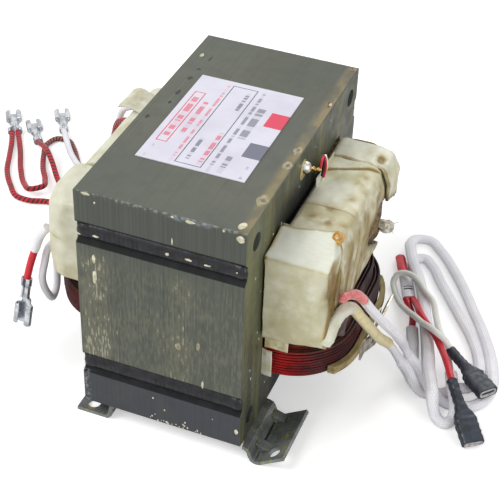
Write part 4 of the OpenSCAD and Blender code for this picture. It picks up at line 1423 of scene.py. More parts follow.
class LeadSet(Part):
    """All leads and what is on their ends."""

    @staticmethod
    def routes() -> list[Lead]:
        """Leads of the right side first, from the winding outwards, then those of the left.

        Returns:
            Every lead with its route.
        """
        return [
            Lead("hv_tube", [
                (59.5, -34, 53), (59.6, -32.6, 58), (60, -29, 60.8), (61, -25, 58.6), (63, -19.4, 50.8),
                (65.5, -10.5, 38.5), (67.5, -1.5, 27), (69.8, 5.4, 19.3)],
                (4.4, 4.4), 65, "tube", Slot.TAPE, stiffness="stiff", up=(1, 0.2, 0), lumps=0.03),
            Lead("hv_stub", [
                (59.6, -36.5, 70.5), (61, -31.5, 69.6), (62.8, -27, 67), (65, -23.6, 62.4)],
                (3.6, 3.6), 16.9, "pink", Slot.PINK, stiffness="stiff", lumps=0.16, sides=18, nose=2.4),
            Lead("sleeve_a", [
                (69.8, 5.4, 19.3), (72.5, 8.5, 12.6), (75, 9.5, 8), (79, 7, 5.6), (83, 2.6, 4.4),
                (87, 2, 1.8), (91, 3, 1.8), (95, 5, 1.7), (98.5, 9.5, 1.7), (102.5, 11.5, 1.7),
                (105, 16, 1.7), (105, 24, 1.7), (102, 33, 1.7), (96, 44, 1.7), (89, 54, 1.7),
                (82, 64, 1.7), (75, 74, 1.7), (69, 83, 1.7), (64, 87, 1.7), (60.5, 84, 1.7),
                (62, 77, 1.7), (67, 69, 1.7), (71, 60, 1.7), (74, 51.5, 1.7), (77, 42.5, 1.7),
                (80, 33.5, 1.7), (82.5, 25.5, 1.7), (84.5, 18.5, 1.7), (85, 12.5, 1.7),
                (83.5, 8.5, 1.7), (81, 11, 1.7), (78.5, 17, 1.7), (76.5, 24, 1.7), (74.5, 31, 1.7),
                (72.2, 38.2, 1.7)],
                (5, 3.4), 255.4, "sleeve", Slot.SLEEVE, sides=40, ribs=10),
            Lead("sleeve_b", [
                (65, -23.6, 62.4), (67.2, -19.8, 55.8), (70.2, -10.4, 43), (74.2, 1.4, 27.4),
                (75.4, 12.6, 12.6), (77.5, 13.5, 8), (81.5, 11.5, 5.7), (85, 8, 5.2), (88, 3.5, 5.7),
                (91, 0, 5.8), (93.5, -1.5, 5.2), (95.5, -1.5, 3.4), (98.5, -0.5, 1.8), (101, 0, 1.7),
                (107, 2, 1.7), (111, 8, 1.7), (112, 17, 1.7), (110, 26, 1.7), (106, 37, 1.7),
                (100, 49, 1.7), (93, 61, 1.7), (86, 73, 1.7), (78, 85, 1.7), (70, 95, 1.7),
                (63, 101, 1.7), (57.5, 100, 1.7), (55.8, 93, 3.6), (57.8, 85.5, 5.2), (61, 78, 5.2),
                (65, 71, 5.2), (68, 64.5, 5.2), (72, 55.5, 5.2), (75, 47.5, 5.2), (78, 38.5, 5.2),
                (81, 29.5, 5.2), (84, 20, 6), (86.5, 10.5, 8.2), (89.5, 2, 9.2), (92, -5, 9.2),
                (93.5, -7.5, 5), (96, -10, 2), (99.5, -11.5, 1.7), (102, -8, 2.2), (102, -4.5, 4.7),
                (100, 1, 5.1), (97.5, 7, 5.4), (95, 15, 4.2)],
                (5, 3.4), 383.5, "sleeve", Slot.SLEEVE, sides=40, ribs=10),
            Lead("red_wire_a", [
                (72.2, 38.2, 1.7), (70, 46.5, 1.6), (67.5, 50.5, 2.4), (64.5, 54.5, 3.4)],
                (2.9, 2.9), 18.5, "red", Slot.RED),
            Lead("red_wire_b", [
                (67.5, 55, 3.6), (71, 48, 6.6), (74, 41.5, 8.5), (77.5, 37, 8.6), (83, 31, 8.5),
                (88, 23, 9.2), (93.5, 11.5, 11.6), (97.5, 2.5, 12.2)],
                (2.9, 2.9), 61, "red", Slot.RED, end=End.TERMINAL),
            Lead("marker_tag", [(66, 54.5, 3.5), (63.5, 61, 3.5), (60.5, 68, 3.5)],
                 (5.8, 3.4), 14.6, "tag", Slot.WHITE, stiffness="stiff", sides=28),
            Lead("splice_cap", [(60.5, 68, 3.5), (57, 75, 3), (54.5, 81.5, 2.2), (53, 84.5, 1.9)],
                 (4.6, 3.3), 18.2, "red", Slot.RED, stiffness="stiff", sides=24, taper=0.75),
            Lead("white_wire", [
                (95, 15, 4.2), (92.5, 22.5, 2.6), (89.5, 30.5, 1.5), (86.5, 36.5, 1.4), (83, 42.5, 1.4),
                (79.8, 48.2, 3.2), (77.2, 51.8, 7.2), (72, 56.5, 8.5), (68, 61.5, 8.5), (64, 65, 8),
                (60.5, 66.5, 7.2), (57.5, 66.5, 5.8), (56, 65, 2.8), (58, 60, 1.5), (61.5, 54, 1.6),
                (67.5, 45, 5), (73, 38, 8.6), (77, 34, 9.8), (81, 30, 12), (85, 27.5, 12.1),
                (89, 26, 10.6), (91.5, 26, 6.4)],
                (2.7, 2.7), 132, "white", Slot.WHITE, end=End.TERMINAL),
            Lead("lead_1", [
                (-57.6, 12, 71), (-61.5, 14, 66.5), (-66, 18, 55), (-71, 24, 35), (-77, 31, 16),
                (-85, 40, 4.2), (-95, 49, 1.4), (-104, 57, 1.4), (-113, 57, 1.4), (-121, 54.5, 1.4),
                (-128, 55, 1.4), (-135.5, 62, 1.4), (-143, 72, 1.4), (-148.5, 84, 1.4), (-153.5, 95, 1.5),
                (-157.2, 102.2, 2.2)],
                (2.7, 2.7), 185.1, "cloth", Slot.CLOTH, end=End.TERMINAL),
            Lead("lead_2", [
                (-57.6, 33, 75), (-62.5, 36, 71.5), (-68, 41, 58), (-75, 49, 38), (-83, 57, 18),
                (-91, 65, 5), (-100, 74, 1.4), (-109, 84, 1.4), (-116, 94, 1.4), (-122, 102, 1.4),
                (-128.5, 107.8, 1.4), (-134.2, 107, 1.4), (-136.3, 100.5, 1.5), (-133, 91, 1.9),
                (-127.5, 80, 2), (-121.5, 71, 2.6), (-118.6, 63.5, 4.4), (-122.5, 59.5, 4.4),
                (-130, 65.5, 1.6), (-138, 76.5, 1.4), (-145.2, 89, 1.4), (-151, 98.2, 1.5),
                (-154.8, 103.8, 2.2)],
                (2.7, 2.7), 257.9, "cloth", Slot.CLOTH, end=End.TERMINAL, fade=(140, 30)),
            Lead("lead_3", [
                (-57.6, 22, 68), (-61, 25, 63), (-65, 31, 50), (-71, 38, 30), (-78, 45, 11),
                (-87, 52, 2.4), (-97, 58, 1.4), (-105, 63.5, 1.4), (-112, 70, 1.4), (-118, 76.5, 1.6),
                (-124.5, 84, 4.2), (-130, 89.6, 5.8), (-135.5, 95, 4.2), (-141, 100, 1.8)],
                (2.7, 2.7), 153.1, "cloth", Slot.CLOTH, end=End.TERMINAL),
            Lead("lead_4", [
                (-57.6, 40, 78), (-63, 43, 74), (-70, 49, 60), (-79, 57, 40), (-88, 65, 20),
                (-97, 74, 7), (-107, 82, 5.6), (-117, 91, 5.2), (-126, 102.5, 4.5), (-130.5, 108.8, 4.4),
                (-134, 114, 2.2)],
                (3, 3), 144.4, "fine_sleeve", Slot.SLEEVE, end=End.TERMINAL, sides=20),
            Lead("lead_5", [(-63.6, -37.2, 55), (-65.6, -38.4, 47.5), (-66.6, -39.6, 42)],
                 (3, 3), 13.5, "red", Slot.RED, up=(1, 0, 0)),
            Lead("lead_5_sleeve", [(-57.8, -36, 67), (-60.6, -36.4, 63), (-63.6, -37.2, 55)],
                 (3.6, 3.6), 13.6, "fine_sleeve", Slot.SLEEVE, up=(1, 0.2, 0), sides=20),
            Lead("white_loop", [
                (-57.8, -30, 57), (-60, -32.4, 54.4), (-61.2, -34.4, 48), (-62, -36, 40),
                (-61.2, -34.2, 32), (-61, -30.8, 27.4), (-61.4, -27, 29), (-61.6, -25.2, 35),
                (-61.4, -25, 42), (-59.8, -25, 51)],
                (3, 3), 60, "fine_sleeve", Slot.SLEEVE, end=End.OBJECT, up=(1, 0.1, 0), sides=20),
        ]

    def build(self) -> None:
        """Builds every lead and terminal, then hands each free lead and the pieces on its end to declare,
        which does nothing.
        """
        made = {}
        for lead in self.routes():
            made[lead.name] = (lead, *lead.build(self.frame, getattr(self.palette, lead.finish)))
        spades = {
            "lead_1": Spade("spade_1", (-156, 103, 0), (-21, 33, 0), 6.6),
            "lead_3": Spade("spade_2", (-141, 100, 0), (-23, 31, 0)),
            "lead_4": Spade("spade_3", (-134, 114, 0), (-15, 25, 0)),
            "lead_5": Spade("spade_5", (-66.6, -39.6, 42), (-0.6, -5.4, -17), drop=1.8),
        }
        ends = {name: [spade.build(self.frame, self.palette)] for name, spade in spades.items()}
        shrouds = {
            "red_wire_b": Shroud("shroud_red", (97.5, 2.5, 12.2), (14.5, -20, -9), 5),
            "white_wire": Shroud("shroud_white", (91.5, 26, 6.4), (21, -19.5, 0.2), 8),
        }
        for name, shroud in shrouds.items():
            ends[name] = shroud.build(self.frame, self.palette)
        ends["sleeve_b"] = [made["hv_stub"][1]]
        ends["sleeve_a"] = [made["red_wire_a"][1], made["marker_tag"][1], made["splice_cap"][1]]
        ends["lead_2"] = ends["lead_1"]
        short = ("hv_stub", "red_wire_a", "marker_tag", "splice_cap", "lead_5", "lead_5_sleeve")
        for name, (lead, piece, path) in made.items():
            if name not in short:
                lead.declare(piece, path, ends.get(name, []))


# Core


def inside(spots: Array, corners: list) -> Array:
    """Whether each place lies in a polygon: a line from it to the right crosses an odd number of
    the polygon's edges.

    Args:
        spots: Places with two numbers on the last axis.
        corners: Corners of the polygon.

    Returns:
        True for each place inside.
    """
    x, y = spots[..., 0], spots[..., 1]
    hit = np.zeros(x.shape, bool)
    for (x0, y0), (x1, y1) in zip(corners, corners[1:] + corners[:1]):
        if y0 != y1:
            crosses = (y0 > y) != (y1 > y)
            hit ^= crosses & (x < x0 + (y - y0) * (x1 - x0) / (y1 - y0))
    return hit


class Face(Enum):
    """Face of the core: the axis across it, and where it lies."""

    FRONT = (1, -HALF_LENGTH)
    TOP = (2, TOP)
    RIGHT = (0, HALF_STACK)


@dataclass(frozen=True)
class Drop:
    """Dried drop on a face, at two places in the plane, with two radii and a height."""

    face: Face
    at: tuple
    radii: tuple
    height: float = 0.25
    sunk: float = 0.0

    def grid(self, seed: int) -> Array:
        """Low dome: the height is one minus the square of the distance from the middle, and
        noise wobbles the rim.

        Args:
            seed: Number of the noise.

        Returns:
            Rings of points from the middle out.
        """
        axis, level = self.face.value
        level -= math.copysign(self.sunk, level)
        k = np.linspace(0.02, 1, 9)[:, None]
        angle = spokes(22)
        rim = 1 + 0.22 * noise(circle(angle) * 2, 1.3, seed)
        one = self.at[0] + self.radii[0] * k * rim * np.cos(angle)
        two = self.at[1] + self.radii[1] * k * rim * np.sin(angle)
        rise = np.broadcast_to(self.height * (1 - k**2) ** 0.7 - 0.05 * k**8, one.shape)
        grid = np.empty(one.shape + (3,))
        grid[..., axis] = level + (rise if level > 0 else -rise)
        first, second = [a for a in range(3) if a != axis]
        grid[..., first], grid[..., second] = one, two
        return grid


@dataclass
class Core(Part):
    """Stack of plates with its welds and what the varnish left on it."""

    bead_deep: float = 1.6
    ripple: float = 1.9

    def build(self) -> None:
        """Rounds the edges of the stack, lays the beads and lets the drops fall."""
        self.frame.eased("e_core", self.palette.core, Slot.PLATES, 0.4)
        self.frame.eased("i_core", self.palette.core, Slot.PLATES, 0.4)
        for name, level in zip(("seam_welds", "joint_welds"), SEAMS):
            beads = [self.bead(level, side) for side in (-1, 1)]
            self.frame.solid(f"{name}_beads", self.palette.weld, Slot.WELD, [Shell(b) for b in beads],
                             (name,))
        self.drops()

    def bead(self, level: float, side: int) -> Array:
        """Weld bead. The section is a flat arc. Its height ripples along the run, in bows that
        bend back at the rims, and the ends swell into blobs.

        Args:
            level: Height of its middle.
            side: -1 for the front and 1 for the rear.

        Returns:
            Rings of points along the bead.
        """
        x = np.concatenate([np.linspace(-HALF_STACK, -29, 16), np.linspace(-28.7, 28.7, 330),
                            np.linspace(29, HALF_STACK, 16)])
        near = HALF_STACK - np.abs(x)
        round_off = np.sqrt(np.clip(1 - (1 - np.clip(near / 2.6, 0.004, 1)) ** 2, 0, 1))
        blob = 1 - ease(2.5, 5.5, near)
        half = (3.0 + 0.25 * blob) * round_off
        thick = (1.12 + 0.36 * blob) * round_off
        t = np.linspace(-1, 1, 23)
        bow = x[:, None] + 1.5 * t[None] ** 2 + 0.5 * noise(np.stack([x, 0 * x, 0 * x], -1), 4, 7)[:, None]
        wave = np.abs(np.sin(np.pi * bow / self.ripple)) - 0.6
        where = np.stack(np.broadcast_arrays(x[:, None], 0 * t[None] + side, level + 3 * t[None]), -1)
        swell = 1 + 0.12 * wave * (1 - blob[:, None]) + 0.1 * noise(where, 5, 11)
        arc = thick[:, None] * (1 - np.abs(t[None]) ** 2.6) * np.clip(swell, 0.5, 1.04)
        back = np.linspace(0.9, -0.9, 5)
        z = level + half[:, None] * np.concatenate([t, back])[None]
        floor = HALF_LENGTH - self.bead_deep
        out = np.concatenate([arc, np.zeros((len(x), 5))], 1)
        y = side * np.minimum(floor + out, HALF_LENGTH - 0.04)
        return np.stack([np.broadcast_to(x[:, None], z.shape), y, z], -1)

    def drops(self) -> None:
        """Pale drips, burnt rims and white specks, where the real core has them."""
        f, t, r = Face.FRONT, Face.TOP, Face.RIGHT
        pale = [
            Drop(f, (-25.5, 79.2), (0.7, 2.0)), Drop(f, (-25.6, 70.6), (0.9, 3.1)),
            Drop(f, (16.8, 33.8), (0.5, 1.8), 0.12), Drop(f, (30.7, 14.7), (0.8, 1.4)),
            Drop(f, (-30.9, 88.5), (1.0, 0.5), 0.5, 0.6), Drop(f, (-24.6, 89.1), (1.4, 0.5), 0.5, 0.6),
            Drop(f, (2.8, 89.8), (0.8, 0.7), 0.5, 0.6), Drop(f, (10.8, 89.9), (1.5, 0.6), 0.5, 0.6),
            Drop(f, (17.8, 89.6), (1.3, 0.35), 0.45, 0.6), Drop(f, (29.0, 90.2), (0.8, 0.6), 0.5, 0.6),
            Drop(f, (-27.6, 106.9), (1.9, 0.5), 0.15), Drop(f, (11.7, 106.6), (2.0, 0.7), 0.2),
            Drop(f, (5.0, 106.8), (0.6, 0.5), 0.15), Drop(f, (4.9, 96.5), (0.3, 1.6), 0.1),
            Drop(f, (-24.2, 104.1), (0.4, 0.6), 0.1), Drop(f, (23.8, 106.6), (0.5, 0.5), 0.1),
            Drop(f, (29.9, 105.0), (1.6, 1.5), 0.3), Drop(t, (28.9, -56.0), (1.5, 2.2), 0.28),
            # The pale drop at (31.0, 28.9), in the middle of a burnt mark, is dried varnish and a painted
            # highlight.
            Drop(t, (31.0, 28.9), (0.8, 1.3), 0.22), Drop(t, (-28.3, 43.5), (0.8, 1.5), 0.15)]
        burnt = [Drop(t, (30.8, 28.9), (1.5, 2.4), 0.12), Drop(t, (30.6, 57.6), (1.6, 1.8), 0.14)]
        films = [
            Drop(f, (7.2, 49.1), (1.3, 1.7), 0.08), Drop(f, (14.9, 51.6), (0.8, 2.0), 0.08),
            Drop(t, (30.3, -5.7), (1.7, 2.8), 0.1), Drop(t, (30.2, -16.2), (1.9, 3.0), 0.1),
            Drop(t, (29.6, -39.6), (2.2, 4.2), 0.1)]
        halos = [
            Drop(f, (7.2, 49.1), (0.4, 0.6), 0.11), Drop(t, (30.4, -5.7), (0.9, 1.4), 0.16),
            Drop(t, (30.4, -16.2), (0.9, 1.4), 0.16), Drop(t, (29.9, -39.6), (1.0, 1.8), 0.16)]
        dents = [Drop(t, at, radii, 0.05) for at, radii in (
            ((-25, 32.8), (1.2, 0.9)), ((-25.5, 25), (1.3, 1.6)), ((-25.5, 13.5), (1.1, 1.9)),
            ((-25.3, 5.6), (0.8, 1.2)), ((-29, -7), (1.0, 1.6)), ((-24, 42.5), (0.5, 3.2)))]
        draw = np.random.default_rng(41)
        specks = []
        for _ in range(46):
            size = draw.uniform(0.18, 0.5)
            spot_at = (draw.uniform(-56, 30), draw.uniform(12, 104))
            specks.append(Drop(r, spot_at, (size, size * draw.uniform(1, 2)), 0.1))
        for _ in range(26):
            size = draw.uniform(0.2, 0.4)
            specks.append(Drop(f, (draw.uniform(-5, 24), 8.1 + 14 * draw.uniform(0, 1) ** 5),
                               (size, size * 1.5), 0.1))
        for name, finish, drops in (("pale_drips", self.palette.drip, pale + specks),
                                    ("burnt_marks", self.palette.burn, burnt),
                                    ("film_marks", self.palette.film, films),
                                    ("mark_centres", self.palette.halo, halos),
                                    ("dark_marks", self.palette.dent, dents)):
            shells = [Shell(drop.grid(i)) for i, drop in enumerate(drops)]
            self.frame.solid(name, finish, Slot.PLATES, shells)


# Windings


def loop(half_x: float, half_y: float, corner: float, count: int) -> Array:
    """Rectangle with round corners, as evenly spaced points. It runs from the right side to the
    rear.

    Args:
        half_x: Half of its size along X.
        half_y: Half of its size along Y.
        corner: Radius of the corners.
        count: Number of points.

    Returns:
        Points, with two columns.
    """
    turn = np.linspace(0, np.pi / 2, 24)
    arcs = []
    for quarter, (sx, sy) in enumerate(((1, 1), (-1, 1), (-1, -1), (1, -1))):
        angle = turn + quarter * np.pi / 2
        arcs.append(np.stack([sx * (half_x - corner) + corner * np.cos(angle),
                              sy * (half_y - corner) + corner * np.sin(angle)], 1))
    path = np.vstack(arcs + [arcs[0][:1]])
    along = run_length(path)
    at = np.linspace(0, along[-1], count, endpoint=False)
    return np.stack([np.interp(at, along, path[:, k]) for k in (0, 1)], 1)


def ring_block(outer: Array, inner: Array, levels: Array, reach: Array) -> Array:
    """Block around the middle leg: up the outer outline, pushed out by reach at each level, and
    down the inner one.

    Args:
        outer: Outer outline.
        inner: Inner outline with as many points.
        levels: Heights of its rows.
        reach: How far each row stands out.

    Returns:
        One closed section for each point of the outline.
    """
    out = unit(outer - outer * [0.6, 0.6])
    wall = outer[:, None] + reach[None, :, None] * out[:, None]
    rise = np.broadcast_to(levels[None, :, None], (len(outer), len(levels), 1))
    hole = np.repeat(inner[:, None], 2, 1)
    drop = np.broadcast_to(np.array([levels[-1], levels[0]])[None, :, None], (len(outer), 2, 1))
    return np.concatenate([np.concatenate([wall, rise], 2), np.concatenate([hole, drop], 2)], 1)


@dataclass
class Windings(Part):
    """Heavy primary below, soaked secondary above it and the filament turns close to the leg."""

    turns: int = 9
    pitch: float = 1.33
    wire: float = 1.4
    low: float = 28.6
    top: float = 46.85
    step: float = 3.0
    half: tuple = (59.9, 38.3)
    corner: float = 23.9
    crown: float = 0.4

    def build(self) -> None:
        """Builds the three windings."""
        self.primary()
        self.secondary()
        self.filament()

    def turn(self, inset: float, level: float, seed: int) -> Array:
        """One turn of the primary. Noise moves the wire a little off its place.

        Args:
            inset: How far it lies inside the outer turns.
            level: Its height.
            seed: Number of the noise.

        Returns:
            Rings of points along the wire.
        """
        count = 300
        path = loop(self.half[0] - inset, self.half[1] - inset, self.corner - inset, count)
        middle = (self.turns - 1) / 2
        t = min(((level - self.low) / self.pitch - 0.5 - middle) / middle, 1.0)
        path = path + self.crown * (1 - t * t) * unit(path)
        where = np.concatenate([path, np.full((count, 1), level)], 1)
        path3 = where + np.stack([0.08 * noise(where, 13, seed), 0.06 * noise(where, 11, seed + 5),
                                  0.1 * noise(where, 16, seed + 9)], 1)
        return sweep(path3, np.full((count, 2), self.wire * 0.93), 12, (0, 0, 1), closed=True)

    def primary(self) -> None:
        """Outer turns, the ledge on top of them, the inner layer that stands higher, its top and
        the block behind."""
        ledge = self.low + (self.turns - 0.5) * self.pitch
        top = self.top - self.pitch / 2
        seats = [(0.0, self.low + (i + 0.5) * self.pitch) for i in range(self.turns)]
        seats += [(k * self.pitch, ledge) for k in (1, 2)]
        seats += [(self.step, top - k * self.pitch) for k in range(5)]
        seats += [(self.step + k * self.pitch, top) for k in range(1, 6)]
        grids = [self.turn(inset, level, 3 * i) for i, (inset, level) in enumerate(seats)]
        outer = loop(self.half[0] - 0.4, self.half[1] - 0.4, self.corner - 0.4, 300)
        inner = loop(33.5, 21, 1.5, 300)
        levels = np.array([self.low + 0.4, self.low + 0.8, ledge - 0.4, ledge, top - 0.4, top])
        block = ring_block(outer, inner, levels, np.array([-1.0, 0, 0, -3.4, -3.4, -4.0]))
        shells = [Shell(g, loop=True) for g in grids] + [Shell(block, loop=True)]
        # dark: darker on the bends and towards the rear, plus painted shade on the top and bottom of each
        # wire, where turns meet, and over the whole block behind them.
        dark, resin = [], []
        gap = 0.9 * np.abs(np.sin(np.arange(12) * np.pi / 6)) ** 3
        for grid, shade in [(g, gap) for g in grids] + [(block, 1.0)]:
            right = ease(38, 56, grid[..., 0]) * (0.75 + 0.3 * noise(grid, 9, 3))
            bend = right + ease(-30, -50, grid[..., 0]) * 0.8
            rear = ease(-20, 20, grid[..., 1]) * 0.4
            dark.append(np.clip(bend + rear + shade, 0, 1))
            smear = ease(-0.2, 0.5, layers(grid * [1, 1, 0.5], 9, 77)) * ease(38, 44, grid[..., 2])
            resin.append(smear * 0.75)
        self.frame.solid("primary_turns", self.palette.enamel, Slot.ENAMEL, shells, ("primary_winding",),
                    {"dark": dark, "resin": resin})

    def secondary(self) -> None:
        """Fine wire in layers: a ripple of 1.2 mm stands for it on the coil's outside."""
        quarter = [(52.8, 12), (52.4, 34), (50, 40.5), (46, 43), (37, 42.6), (33.2, 39.4)]
        back = quarter[::-1]
        corners = quarter + [(-x, y) for x, y in back]
        corners += [(-x, -y) for x, y in quarter] + [(x, -y) for x, y in back]
        outer = outline(corners, 300, 1.2)
        inner = loop(36.1, 23.4, 1.0, 300)
        levels = np.linspace(53, 86, 150)
        reach = 0.22 * (np.abs(np.sin(np.pi * levels / 1.2)) - 1)
        grid = ring_block(outer, inner, levels, reach)
        sag = 0.5 * noise(grid, 7, 21)
        grid[..., :2] *= 1 + (np.minimum(sag, 0) / 50)[..., None]
        bulge = ease(2, 12, grid[..., 1]) * ease(78, 70, grid[..., 2]) * ease(46, 50, grid[..., 0])
        grid[..., 0] += (2.2 + 0.5 * layers(grid, 4, 23)) * bulge
        grid[..., 0] += 4.8 * ease(78, 85, grid[..., 2]) * ease(44, 51, -grid[..., 0])
        self.frame.solid("secondary_coil", self.palette.coil, Slot.RESIN, [Shell(grid, loop=True)],
                    ("secondary_winding",))

    def filament(self) -> None:
        """Three turns of thick insulated wire, close to the leg. Their finish is near black: sooty, and
        painted shade of the gap between the core and the wraps.
        """
        grids = []
        for i in range(3):
            flat = loop(34, 21.5, 1.6, 200)
            path = np.concatenate([flat, np.full((200, 1), 79.3 + 2.4 * i)], 1)
            grids.append(sweep(path, np.full((200, 2), 2.5), 14, (0, 0, 1), closed=True))
        self.frame.solid("filament_turns", self.palette.turns, Slot.RED,
                         [Shell(g, loop=True) for g in grids],
                    ("filament_winding",))


# Papers


def leaf(frame: Frame, name: str, grids: list, thick: float, finish: bpy.types.Material, slot: Slot,
         nodes: tuple, marks: dict | None = None) -> Piece:
    """Thin sheets with a thickness, made of open grids.

    Args:
        frame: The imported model.
        name: The piece's name.
        grids: Open grids of points.
        thick: Thickness in millimetres.
        finish: Its material.
        slot: The record's slot.
        nodes: CAD nodes that it stands for.
        marks: Values for each point, by attribute name.

    Returns:
        The piece.
    """
    shells = [Shell(g, around=False, ends=False) for g in grids]
    return thicken(frame.solid(name, finish, slot, shells, nodes, marks), "sheet", thick)


def drawn(line: list, step: float, soft: float) -> Array:
    """Open line with even steps and softened corners. A bell curve of the width soft averages it,
    and its ends stay in place.

    Args:
        line: Corners of the line.
        step: Distance of its points.
        soft: Width of the bell curve.

    Returns:
        Points along the line.
    """
    p = np.array(line, float)
    along = run_length(p)
    at = np.linspace(0, along[-1], int(along[-1] / step) + 2)
    flat = np.stack([np.interp(at, along, p[:, k]) for k in range(p.shape[1])], 1)
    away = at[:, None] - at[None]
    room = np.minimum(np.minimum(at, at[-1] - at) + 1e-3, soft)[:, None]
    bell = np.exp(-0.5 * (away / room) ** 2)
    return (bell / bell.sum(1, keepdims=True)) @ flat


@dataclass
class Papers(Part):
    """Slot papers, folded papers, the liner round the filament turns and the blank label."""

    slot_wall: float = 0.36
    fold_wall: float = 0.38
    liner_wall: float = 0.42

    def build(self) -> None:
        """Builds the papers."""
        grids = []
        for side in (-1, 1):
            x, z = np.meshgrid(np.linspace(-36.4, 36.4, 120), np.linspace(27.8, 40.7, 26), indexing="ij")
            spots = np.stack([x, 0 * x + side, z], -1)
            flare = ease(32.6, 34.5, np.abs(x)) * (0.5 + 0.25 * noise(spots, 5, 4))
            grids.append(np.stack([x, side * (39.62 + flare), z], -1))
        leaf(self.frame, "slot_paper_sheets", grids, self.slot_wall, self.palette.paper, Slot.PAPER,
             ("slot_papers",))
        folds = []
        for side in (-1, 1):
            line = drawn([(38.9, 40.9), (38.7, 47.3), (36.5, 47.7), (24, 47.6)], 0.35, 0.5)
            x = np.linspace(32.9, 42, 36)
            grid = np.empty((len(line), len(x), 3))
            grid[..., 0], grid[..., 1], grid[..., 2] = x[None], side * line[:, :1], line[:, 1:]
            loose = ease(32.9, 35, grid[..., 0])
            crumple = layers(grid, 4.2, 9) * loose
            grid[..., 1] += side * 0.45 * crumple * ease(48, 44, grid[..., 2])
            grid[..., 2] += 0.45 * crumple + 0.25 * loose
            folds.append(grid)
        leaf(self.frame, "fold_paper_sheets", folds, self.fold_wall, self.palette.fold, Slot.PAPER,
             ("fold_papers",))
        self.liner()
        self.frame.keep("label_sheet", self.palette.label)
        for name in ("shunt_front", "shunt_rear"):
            self.frame.keep(name, self.palette.core)

    def liner(self) -> None:
        """Paper sleeve round the filament turns, with a tongue at the rear right."""
        flat = loop(35.55, 23.05, 0.8, 300)
        levels = np.linspace(53, 87.2, 40)
        grid = np.empty((len(levels), 300, 3))
        grid[..., :2], grid[..., 2] = flat[None], levels[:, None]
        wave = ease(80, 87.2, grid[..., 2]) * 0.18 * noise(grid, 6, 2)
        grid[..., :2] *= 1 + (wave / 40)[..., None]
        piece = self.frame.solid("liner_sleeve", self.palette.paper, Slot.PAPER, [Shell(grid, ends=False)],
                            ("winding_liner",))
        thicken(piece, "sheet", self.liner_wall)
        y, z = np.meshgrid(np.linspace(3, 23.3, 30), np.linspace(86.4, 91, 12), indexing="ij")
        curl = 0.25 * noise(np.stack([0 * y, y, z], -1), 4, 6) * ease(87, 90, z)
        tongue = np.stack([35.58 + curl, y, z], -1)
        leaf(self.frame, "liner_tongue", [tongue], self.liner_wall, self.palette.paper, Slot.PAPER, ())


# Tape

TEAR = [(44, 48.5), (44, 65.5), (41, 67.2), (33.1, 69.9), (20.8, 74.7), (16.5, 74.2), (15, 72.4),
        (8.5, 72.5), (6.4, 66.8), (6, 63.7), (23.6, 53.5), (26, 50)]


